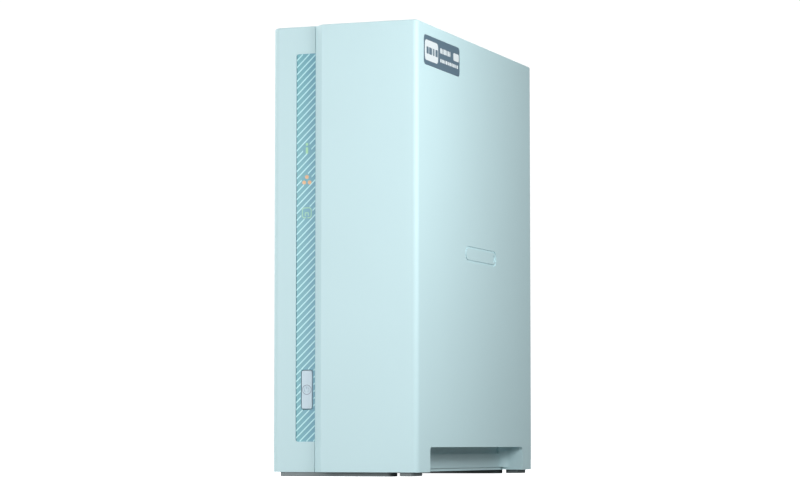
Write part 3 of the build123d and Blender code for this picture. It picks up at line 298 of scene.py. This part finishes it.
def rounded_plate(tool, centre, size, corner, thick):
    """A thin plate with rounded corners, standing on a plane across X, facing +X."""
    before = set(tool.verts)
    bmesh.ops.create_grid(tool, x_segments=1, y_segments=1, size=0.5)
    made = [v for v in tool.verts if v not in before]
    bmesh.ops.scale(tool, vec=(size[0], size[1], 1), verts=made)
    bmesh.ops.bevel(
        tool, geom=made, offset=corner, segments=5, affect="VERTICES", profile=0.5, material=-1
    )
    fresh = [v for v in tool.verts if v not in before]
    faces = [f for f in tool.faces if all(v in fresh for v in f.verts)]
    grown = bmesh.ops.extrude_face_region(tool, geom=faces)
    raised = [v for v in grown["geom"] if isinstance(v, bmesh.types.BMVert)]
    bmesh.ops.translate(tool, vec=(0, 0, thick), verts=raised)
    fresh = [v for v in tool.verts if v not in before]
    stand = Matrix(((0, 0, 1), (1, 0, 0), (0, 1, 0))).to_4x4()
    bmesh.ops.transform(tool, matrix=Matrix.Translation(centre) @ stand, verts=fresh)


ink_thick = 0.03 * MM
print_x = label_high.x - ink_thick / 3
label_middle = (label_low.z + label_high.z) / 2

# The panel on the label's front half, and five upright bars over it in the label's own slate.
panel = bmesh.new()
panel_centre = (print_x, label_low.y + 9.6 * MM, label_middle)
rounded_plate(panel, panel_centre, (16.6 * MM, 8.6 * MM), 1.9 * MM, ink_thick)
piece("label_panel", panel, white_ink, "side_cover")

slate_ink = moulded("screen_printed_slate_ink", "#5F7889", 0.12, 0.4, tint=0.02, depth_mm=0.002)
panel_bars = bmesh.new()
panel_bar_x = print_x + ink_thick * 0.9
for start, length in ((3.4, 2.6), (6.6, 2.6), (9.4, 1.0), (11.6, 1.6), (14.6, 2.6)):
    bar_centre = (panel_bar_x, label_low.y + (start + length / 2) * MM, label_middle)
    rounded_plate(panel_bars, bar_centre, (length * MM, 3.0 * MM), 0.4 * MM, ink_thick * 0.6)
piece("label_panel_bars", panel_bars, slate_ink, "side_cover")

# Two rows of short bars beside the panel: each row's height, its place and its bars' lengths.
label_rows = (
    (2.2 * MM, 1.9 * MM, (2.2, 1.4, 2.4, 1.0, 1.8, 1.2)),
    (1.5 * MM, -2.3 * MM, (1.8, 2.3, 1.2, 2.0, 1.4, 2.1, 1.6, 2.2, 1.3, 1.7)),
)
bar_gap = 0.6 * MM
rows = bmesh.new()
for bar_high, row_lift, lengths in label_rows:
    y = label_low.y + 20.6 * MM
    for length in lengths:
        bar_long = length * MM
        bar_centre = (print_x, y + bar_long / 2, label_middle + row_lift)
        rounded_plate(rows, bar_centre, (bar_long, bar_high), 0.35 * MM, ink_thick)
        y += bar_long + bar_gap
piece("label_rows", rows, white_ink, "side_cover")

badge = bmesh.new()
badge_centre = (print_x, label_high.y - 4.5 * MM, label_middle + 1.6 * MM)
rounded_plate(badge, badge_centre, (7.2 * MM, 3.3 * MM), 0.9 * MM, ink_thick)
piece("label_badge", badge, white_ink, "side_cover")


# ---------------------------------------------------------------- feet
# Two long bars under the base and two short pads under the cover, moulded in grey rubber and
# glued in place. Rubber from an unpolished tool is dull and a little dusty.

def rubber(name, colour, grain_mm=0.5):
    """Rubber: dull, with a coarse matt grain."""
    return moulded(name, colour, grain_mm, roughness=0.78, tint=0.12, depth_mm=0.03, IOR=1.52)


foot_rubber = rubber("moulded_grey_rubber", "#9AA3A5")
dress(foot_rubber, "front_foot_bar", "rear_foot_bar", "cover_front_pad", "cover_rear_pad")


# ---------------------------------------------------------------- lamps and front board
# Behind the strip sits a small glass-cloth board with three lamps and the power switch. A clear
# polycarbonate guide, polished in its tool, carries each lamp's light to its mark.

def solder_mask(name, colour):
    """Glossy mask over glass cloth: copper fields show through it, with tinned holes between.

    The fields are about 4 mm wide. The cloth's weave is drawn at 0.5 mm, coarser than it is, to
    show at all.
    """
    material, shader, place = surface(name, Roughness=0.34, IOR=1.55)
    links = material.node_tree.links
    square = {"distance": "CHEBYCHEV", "Scale": 1 / (4 * MM), "Randomness": 0.9}
    fields = add(material, "ShaderNodeTexVoronoi", square, {"Vector": place})
    pick = add(material, "ShaderNodeSeparateColor", links={0: fields.outputs["Color"]})
    copper_under = [min(1.0, c * 1.7) for c in linear(colour)[:3]] + [1.0]
    tones = {"data_type": "RGBA", 6: linear(colour), 7: copper_under}
    mask = add(material, "ShaderNodeMix", tones, {0: pick.outputs[0]})
    spaced = {"Scale": 1 / (2.6 * MM), "Randomness": 0.7}
    holes = add(material, "ShaderNodeTexVoronoi", spaced, {"Vector": place})
    edge = {1: 0.11, 2: 0.13, 3: 1.0, 4: 0.0}
    tinned = add(material, "ShaderNodeMapRange", edge, {0: holes.outputs[0]})
    tin = {"data_type": "RGBA", 7: linear("#C9CBC8")}
    top = add(material, "ShaderNodeMix", tin, {0: tinned.outputs[0], 6: mask.outputs[2]})
    links.new(top.outputs[2], shader.inputs["Base Color"])
    links.new(tinned.outputs[0], shader.inputs["Metallic"])
    threads = {"Scale": 1 / (0.5 * MM), "Detail": 2.0}
    cloth = add(material, "ShaderNodeTexNoise", threads, {"Vector": place})
    weave = {"Strength": 0.4, "Distance": 0.01 * MM}
    bump = add(material, "ShaderNodeBump", weave, {"Height": cloth.outputs[0]})
    links.new(bump.outputs[0], shader.inputs["Normal"])
    return material


board_finish = solder_mask("solder_masked_glass_cloth", "#1F6B3F")
dress(board_finish, "front_board", "main_board", "socket_board", "drive_board")
clear_finish = moulded(
    "polished_clear_polycarbonate", "#F2F8F8", 0.6, 0.09, tint=0.01, depth_mm=0.001,
    IOR=1.58, Transmission_Weight=0.85,
)
dress(clear_finish, "light_guide")
lamp_finish = moulded("cast_clear_epoxy", "#EFE9C9", 0.3, 0.2, depth_mm=0.002, IOR=1.52)
dress(lamp_finish, "indicator_lamps")
chip_finish = moulded("moulded_black_epoxy", "#17181A", 0.25, 0.55, tint=0.1, depth_mm=0.008, IOR=1.6)
dress(chip_finish, "power_switch", "processor", "memory_chips", "buzzer")
black_nylon = moulded("moulded_black_nylon", "#131417", 0.3, 0.42, tint=0.1, IOR=1.53)
dress(
    black_nylon, "switch_plunger", "battery_holder", "power_inlet", "reset_switch", "drive_socket",
    "drive_plug",
)
ivory_nylon = moulded("moulded_ivory_nylon", "#DAD4C0", 0.3, 0.4, IOR=1.53)
dress(ivory_nylon, "board_link", "fan_header", "fan_plug", "reset_button")


# ---------------------------------------------------------------- main board
# The main board carries a processor under an extruded aluminium heat sink, two memory chips,
# polymer capacitors in bare cans, a buzzer and a coin cell, and dozens of chip resistors.

def metal(name, colour, roughness, grain_mm, stretch=(1, 1, 1), depth_mm=0.003):
    """Metal with the marks of its making: noise, drawn out along the way that it was worked."""
    material, shader, place = surface(name, Metallic=1.0)
    links = material.node_tree.links
    drawn = add(material, "ShaderNodeMapping", {"Scale": stretch}, {"Vector": place})
    sized = {"Scale": 1 / (grain_mm * MM), "Detail": 4.0}
    grain = add(material, "ShaderNodeTexNoise", sized, {"Vector": drawn.outputs[0]})
    dull = [c * 0.86 for c in linear(colour)[:3]] + [1.0]
    tones = {"data_type": "RGBA", 6: dull, 7: linear(colour)}
    tone = add(material, "ShaderNodeMix", tones, {0: grain.outputs[0]})
    links.new(tone.outputs[2], shader.inputs["Base Color"])
    spread = {3: roughness - 0.07, 4: roughness + 0.07}
    shine = add(material, "ShaderNodeMapRange", spread, {0: grain.outputs[0]})
    links.new(shine.outputs[0], shader.inputs["Roughness"])
    depth = {"Strength": 0.5, "Distance": depth_mm * MM}
    bump = add(material, "ShaderNodeBump", depth, {"Height": grain.outputs[0]})
    links.new(bump.outputs[0], shader.inputs["Normal"])
    return material


dress(metal("extruded_anodised_aluminium", "#B9BCC0", 0.42, 0.5, stretch=(1, 1, 0.04)), "heat_sink")
dress(metal("drawn_aluminium_can", "#C2C5CA", 0.3, 0.4, stretch=(0.06, 1, 1)), "capacitors")
dress(metal("pressed_nickel_plated_steel", "#C6C4BD", 0.28, 0.6), "coin_cell")


def slab(tool, low, high, rounding=0.0):
    """A box between two opposite corners, with its edges rounded when asked."""
    made = bmesh.ops.create_cube(tool, size=1.0)["verts"]
    bmesh.ops.scale(tool, vec=[b - a for a, b in zip(low, high)], verts=made)
    bmesh.ops.translate(tool, vec=[(a + b) / 2 for a, b in zip(low, high)], verts=made)
    if rounding:
        edges = list({edge for vert in made for edge in vert.link_edges})
        bmesh.ops.bevel(
            tool, geom=edges, offset=rounding, segments=2, affect="EDGES", profile=0.5, material=-1
        )


# Chip resistors lie wherever the board is free, away from its ends, its sides and each other.
board_low, board_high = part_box("main_board")
on_board = (
    "heat_sink", "memory_chips", "capacitors", "buzzer", "battery_holder", "network_jack",
    "usb_port_lower", "usb_port_upper", "power_inlet", "reset_switch", "board_link", "fan_header",
)
taken = [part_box(name) for name in on_board]
resistor_count = 64
resistor_long, resistor_wide, resistor_high = 1.6 * MM, 0.8 * MM, 0.45 * MM
end_reach, end_proud = 0.22 * MM, 0.03 * MM
resistor_gap = 2.4 * MM
side_margin, screw_margin = 9 * MM, 11 * MM
resistor_bodies, resistor_ends = bmesh.new(), bmesh.new()


def is_free(y, z):
    """Whether a resistor fits at a place on the board's face."""
    near_screw = min(z - board_low.z, board_high.z - z) < screw_margin
    return not near_screw and not any(
        low.y - resistor_gap < y < high.y + resistor_gap
        and low.z - resistor_gap < z < high.z + resistor_gap
        for low, high in taken
    )


def add_resistor(y, z, lies_along_y):
    """A ceramic body and its two tinned ends, which stand a hair proud of it."""
    half_y, half_z = resistor_long / 2, resistor_wide / 2
    if not lies_along_y:
        half_y, half_z = half_z, half_y
    face = board_high.x
    top = face + resistor_high
    slab(resistor_bodies, (face, y - half_y, z - half_z), (top, y + half_y, z + half_z))
    for side in (-1, 1):
        end_y = y + side * half_y if lies_along_y else y
        end_z = z if lies_along_y else z + side * half_z
        reach_y = end_reach if lies_along_y else half_y + end_proud
        reach_z = half_z + end_proud if lies_along_y else end_reach
        low = (face, end_y - reach_y, end_z - reach_z)
        slab(resistor_ends, low, (top + end_proud, end_y + reach_y, end_z + reach_z))


scatter = random.Random(11)
placed = 0
while placed < resistor_count:
    y = scatter.uniform(board_low.y + side_margin, board_high.y - side_margin)
    z = scatter.uniform(board_low.z + 3 * MM, board_high.z - 3 * MM)
    if is_free(y, z):
        taken.append((Vector((0, y - MM, z - MM)), Vector((0, y + MM, z + MM))))
        add_resistor(y, z, lies_along_y=scatter.random() < 0.5)
        placed += 1
tin_finish = metal("reflowed_tin", "#CFD0D0", 0.3, 0.3)
piece("chip_resistors", resistor_bodies, chip_finish, "root")
piece("chip_resistor_ends", resistor_ends, tin_finish, "root")

# The legs of the two memory chips lie flat on the board along both sides.
chips_low, chips_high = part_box("memory_chips")
leg_count, leg_pitch = 12, 0.8 * MM
leg_wide, leg_reach, leg_thick = 0.35 * MM, 0.7 * MM, 0.3 * MM
chip_half = 5 * MM
legs = bmesh.new()
for chip_z in (chips_low.z + chip_half, chips_high.z - chip_half):
    for step in range(leg_count):
        z = chip_z + (step - (leg_count - 1) / 2) * leg_pitch
        for start_y in (chips_low.y - leg_reach, chips_high.y):
            low = (chips_low.x, start_y, z - leg_wide / 2)
            slab(legs, low, (chips_low.x + leg_thick, start_y + leg_reach, z + leg_wide / 2))
piece("memory_chip_legs", legs, tin_finish, "root")


# ---------------------------------------------------------------- rear sockets
# The network jack and the USB ports are folded from tinned steel round moulded nylon inserts
# with gold plated contacts; the power inlet is a nylon block with a plated centre pin.

tinned_steel = metal("folded_tinned_steel", "#C9CACC", 0.24, 0.5)
dress(tinned_steel, "network_jack", "usb_port_lower", "usb_port_upper")
gold_plate = metal("gold_plated_bronze", "#E3B55C", 0.22, 0.3)

# The jack's insert lines its mouth: a box with a wall, open to the rear and to the latch's side.
jack_low, jack_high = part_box("network_jack")
jack_z = (jack_low.z + jack_high.z) / 2
mouth_near, mouth_far = jack_low.x + 2.42 * MM, jack_low.x + 9.0 * MM
mouth_deep, mouth_half = 14.8 * MM, 5.88 * MM
insert_sink, insert_thick = 0.25 * MM, 0.35 * MM
insert = bmesh.new()
slab(
    insert,
    (mouth_near, jack_high.y - mouth_deep, jack_z - mouth_half),
    (mouth_far, jack_high.y - insert_sink, jack_z + mouth_half),
)
rear_face = max(insert.faces, key=lambda face: face.calc_center_median().y)
latch_face = max(insert.faces, key=lambda face: face.calc_center_median().x)
bmesh.ops.delete(insert, geom=[rear_face, latch_face], context="FACES_ONLY")
bmesh.ops.recalc_face_normals(insert, faces=insert.faces[:])
bmesh.ops.solidify(insert, geom=insert.faces[:], thickness=insert_thick)
piece("network_jack_insert", insert, black_nylon, "root")

# Eight sprung contacts lean out of the mouth's near wall.
contact_count, contact_pitch = 8, 1.02 * MM
contact_size = (0.25 * MM, 9.0 * MM, 0.4 * MM)
contact_x, contact_y = jack_low.x + 4.2 * MM, jack_high.y - 8.0 * MM
lean = Matrix.Rotation(math.radians(13), 4, "Z")
contacts = bmesh.new()
for step in range(contact_count):
    z = jack_z + (step - (contact_count - 1) / 2) * contact_pitch
    made = bmesh.ops.create_cube(contacts, size=1.0)["verts"]
    bmesh.ops.scale(contacts, vec=contact_size, verts=made)
    bmesh.ops.transform(contacts, matrix=lean, verts=made)
    bmesh.ops.translate(contacts, vec=(contact_x, contact_y, z), verts=made)
piece("network_jack_contacts", contacts, gold_plate, "root")

# Two lenses show the jack's link lamps, one on each side of the latch.
lens_near, lens_far = jack_low.x + 10.2 * MM, jack_low.x + 12.3 * MM
lens_back, lens_front = jack_high.y - 0.3 * MM, jack_high.y + 0.12 * MM
lens_half = 1.3 * MM
lenses = bmesh.new()
for side in (-1, 1):
    z = jack_z + side * 5.5 * MM
    low = (lens_near, lens_back, z - lens_half)
    slab(lenses, low, (lens_far, lens_front, z + lens_half), 0.15 * MM)
amber_lens = moulded("moulded_amber_polycarbonate", "#D9C48A", 0.3, 0.2, depth_mm=0.002, IOR=1.58)
piece("network_jack_lenses", lenses, amber_lens, "root")

# Each USB port holds a tongue with four contact pads on its near side.
tongue_half = 5.66 * MM
pad_half = 0.5 * MM
for port in ("usb_port_lower", "usb_port_upper"):
    port_low, port_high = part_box(port)
    z = (port_low.z + port_high.z) / 2
    tongue = bmesh.new()
    slab(
        tongue,
        (port_low.x + 3.34 * MM, port_high.y - 12.8 * MM, z - tongue_half),
        (port_low.x + 5.26 * MM, port_high.y - 1.1 * MM, z + tongue_half),
        0.25 * MM,
    )
    piece(port + "_tongue", tongue, black_nylon, "root")
    pads = bmesh.new()
    for pad_place in (-3.5 * MM, -1.0 * MM, 1.0 * MM, 3.5 * MM):
        low = (port_low.x + 3.26 * MM, port_high.y - 10.0 * MM, z + pad_place - pad_half)
        slab(pads, low, (port_low.x + 3.4 * MM, port_high.y - 2.2 * MM, z + pad_place + pad_half))
    piece(port + "_contacts", pads, gold_plate, "root")

# The inlet's pin is turned, with a rounded tip to the rear.
inlet_low, inlet_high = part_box("power_inlet")
pin_radius, pin_long, pin_sink = 1.06 * MM, 9.5 * MM, 0.9 * MM
pin = bmesh.new()
bmesh.ops.create_cone(
    pin, cap_ends=True, segments=32, radius1=pin_radius, radius2=pin_radius, depth=pin_long
)
tip = [edge for edge in pin.edges if all(vert.co.z > 0 for vert in edge.verts)]
bmesh.ops.bevel(
    pin, geom=tip, offset=0.35 * MM, segments=4, affect="EDGES", profile=0.5, material=-1
)
to_rear = Matrix.Rotation(math.radians(-90), 3, "X")
bmesh.ops.rotate(pin, cent=(0, 0, 0), matrix=to_rear, verts=pin.verts)
pin_middle = (
    (inlet_low.x + inlet_high.x) / 2, inlet_high.y - pin_sink - pin_long / 2,
    (inlet_low.z + inlet_high.z) / 2,
)
bmesh.ops.translate(pin, vec=pin_middle, verts=pin.verts)
nickel_plate = metal("turned_nickel_plate", "#C8C7C2", 0.2, 0.3)
piece("power_inlet_pin", pin, nickel_plate, "root")


# ---------------------------------------------------------------- screws
# All the screws are cold headed steel with a cross drive. The zinc plate on them is bright and
# a little cloudy.

zinc_plate = metal("zinc_plated_steel", "#BFC3C8", 0.3, 0.35)
dress(
    zinc_plate, "base_screws", "cover_screws", "front_board_screws", "board_screws", "cage_screws",
    "fan_screws", "socket_board_screws", "drive_screws",
)


# ---------------------------------------------------------------- cage and sled
# The cage is a flat plate of hot dipped galvanised steel on four bosses; the sled, folded from
# the same sheet, hooks into it. The zinc froze in flat crystals that catch the light apart.

def galvanised(name, colour, spangle_mm):
    """Hot dipped zinc: each crystal has its own tone and shine."""
    material, shader, place = surface(name, Metallic=1.0)
    crystals = {"Scale": 1 / (spangle_mm * MM), "Randomness": 1.0}
    spangle = add(material, "ShaderNodeTexVoronoi", crystals, {"Vector": place})
    pick = add(material, "ShaderNodeSeparateColor", links={0: spangle.outputs["Color"]})
    dark = [c * 0.72 for c in linear(colour)[:3]] + [1.0]
    tones = {"data_type": "RGBA", 6: dark, 7: linear(colour)}
    tone = add(material, "ShaderNodeMix", tones, {0: pick.outputs[0]})
    shine = add(material, "ShaderNodeMapRange", {3: 0.26, 4: 0.48}, {0: pick.outputs[1]})
    material.node_tree.links.new(tone.outputs[2], shader.inputs["Base Color"])
    material.node_tree.links.new(shine.outputs[0], shader.inputs["Roughness"])
    return material


dress(galvanised("galvanised_steel_sheet", "#C3C6C9", 4.0), "drive_cage", "drive_sled")
dress(rubber("moulded_black_rubber", "#1D1E20"), "sled_grommets")


# ---------------------------------------------------------------- hard drive
# A die cast aluminium body, bead blasted; its lid is pressed from stainless sheet and keeps
# the brushing of the coil. A paper label with plain bars and no lettering is stuck on the lid.

blasted_casting = metal("bead_blasted_die_cast_aluminium", "#A7A9AC", 0.52, 0.25, depth_mm=0.01)
dress(blasted_casting, "drive_casting")
dress(metal("brushed_stainless_sheet", "#C4C5C6", 0.33, 0.3, stretch=(1, 1, 0.03)), "drive_lid")

lid_low, lid_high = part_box("drive_lid")
paper_long, paper_tall, paper_thick = 64 * MM, 48 * MM, 0.06 * MM
paper_y, paper_z = (lid_low.y + lid_high.y) / 2, lid_high.z - 50 * MM
coated_paper = moulded("coated_paper", "#EEF0EE", 0.2, 0.5, tint=0.02, depth_mm=0.002)
sheet = bmesh.new()
rounded_plate(sheet, (lid_high.x, paper_y, paper_z), (paper_long, paper_tall), 2 * MM, paper_thick)
piece("drive_label", sheet, coated_paper, "drive_sled")

line_high, line_step = 3 * MM, 8 * MM
left_edge = paper_y - 26 * MM
printed_lines = bmesh.new()
for row, length in enumerate((52, 40, 46, 30, 50)):
    line_long = length * MM
    z = paper_z + 17 * MM - row * line_step
    line_centre = (lid_high.x + 0.05 * MM, left_edge + line_long / 2, z)
    rounded_plate(printed_lines, line_centre, (line_long, line_high), MM, 0.03 * MM)
piece("drive_label_bars", printed_lines, slate_ink, "drive_sled")


# ---------------------------------------------------------------- fan
# A 50 mm axial fan: frame and rotor are moulded black PBT, the sleeve bearing is turned brass,
# the coil is lacquered copper wire, and a pressed ferrite ring lines the rotor's cup.

black_pbt = moulded("moulded_black_pbt", "#15171A", 0.3, 0.38, tint=0.1, IOR=1.55)
dress(black_pbt, "fan_frame", "fan_rotor")
dress(metal("turned_brass", "#C9A256", 0.25, 0.3, stretch=(1, 6, 1)), "fan_bearing")
wound = metal("wound_lacquered_copper", "#B8703F", 0.35, 0.3, stretch=(0.2, 5, 0.2), depth_mm=0.05)
dress(wound, "fan_coil")
dress(moulded("pressed_ferrite", "#2B2928", 0.2, 0.6, tint=0.15, depth_mm=0.02), "fan_magnet")
dress(metal("ground_steel", "#C6C7C9", 0.18, 0.3, stretch=(1, 8, 1)), "fan_shaft")
dress(rubber("extruded_black_sleeve", "#18191B", grain_mm=0.3), "fan_lead")


# ---------------------------------------------------------------- floor, light and camera
# The box stands on a plain white sweep. Soft boxes light its front from the left and its cover
# from the right, two more light its back and left side, and the camera is low at the front right.

def soft_box(name, place, aim, size, power):
    """A square white area light pointed at a spot on the object."""
    lamp = bpy.data.lights.new(name, "AREA")
    lamp.shape = "SQUARE"
    lamp.size = size
    lamp.energy = power
    made = bpy.data.objects.new(name, lamp)
    made.location = place
    made.rotation_mode = "QUATERNION"
    made.rotation_quaternion = (Vector(aim) - Vector(place)).to_track_quat("-Z", "Y")
    bpy.context.scene.collection.objects.link(made)
    return made


middle = (cad_low + cad_high) / 2
front_middle = (0.0, -0.08, 0.09)
cover_middle = (0.033, -0.03, 0.09)
soft_box("front_box", (-0.51, -0.75, 0.12), front_middle, 0.3, 4.35)
soft_box("cover_box", (0.25, -0.14, 0.20), cover_middle, 0.15, 0.48)
soft_box("corner_box", (0.33, -0.30, 0.17), cover_middle, 0.2, 0.58)
soft_box("left_box", (-1.1, 0.1, 0.5), middle, 0.7, 5.0)
soft_box("back_box", (-0.4, 1.1, 0.6), middle, 0.7, 4.0)
soft_box("top_box", (0.0, 0.0, 1.1), middle, 0.9, 3.0)

floor_tool = bmesh.new()
bmesh.ops.create_grid(floor_tool, x_segments=2, y_segments=2, size=30.0)
floor_mesh = bpy.data.meshes.new("floor")
floor_tool.to_mesh(floor_mesh)
floor_tool.free()
floor = bpy.data.objects.new("floor", floor_mesh)
bpy.context.scene.collection.objects.link(floor)
# White to look at, but grey for the light that it sends back to the box.
floor_paint, floor_shader, floor_place = surface("matt_white_sweep", Roughness=1.0)
floor_shader.inputs["Specular IOR Level"].default_value = 0.0
seen = add(floor_paint, "ShaderNodeLightPath").outputs["Is Camera Ray"]
shade = {"data_type": "RGBA", 6: linear("#7C7C7C"), 7: linear("#F4F5F5")}
floor_tone = add(floor_paint, "ShaderNodeMix", shade, {0: seen})
floor_paint.node_tree.links.new(floor_tone.outputs[2], floor_shader.inputs["Base Color"])
floor_shader.inputs["Emission Color"].default_value = (1, 1, 1, 1)
floor_glow = add(floor_paint, "ShaderNodeMapRange", {3: 0.025, 4: 1.0}, {0: seen})
floor_paint.node_tree.links.new(floor_glow.outputs[0], floor_shader.inputs["Emission Strength"])
floor_mesh.materials.append(floor_paint)

# The room is white to look at too, and lights the box only faintly.
world = bpy.data.worlds.new("white_room")
bpy.context.scene.world = world
world.use_nodes = True
sky = world.node_tree.nodes["Background"]
sky.inputs["Color"].default_value = (1, 1, 1, 1)
sky_seen = add(world, "ShaderNodeLightPath").outputs["Is Camera Ray"]
sky_glow = add(world, "ShaderNodeMapRange", {3: 0.15, 4: 1.05}, {0: sky_seen})
world.node_tree.links.new(sky_glow.outputs[0], sky.inputs["Strength"])

camera = bpy.data.cameras.new("camera")
camera.sensor_width = 36.0
camera.lens = 123.25
camera.clip_start = 0.05
camera_object = bpy.data.objects.new("camera", camera)
camera_object.location = (0.41394, -1.13295, 0.01286)
camera_object.rotation_euler = (math.radians(90 + 4.08), 0.0, math.radians(20.22))
bpy.context.scene.collection.objects.link(camera_object)
bpy.context.scene.camera = camera_object
bpy.context.scene.view_settings.view_transform = "Standard"
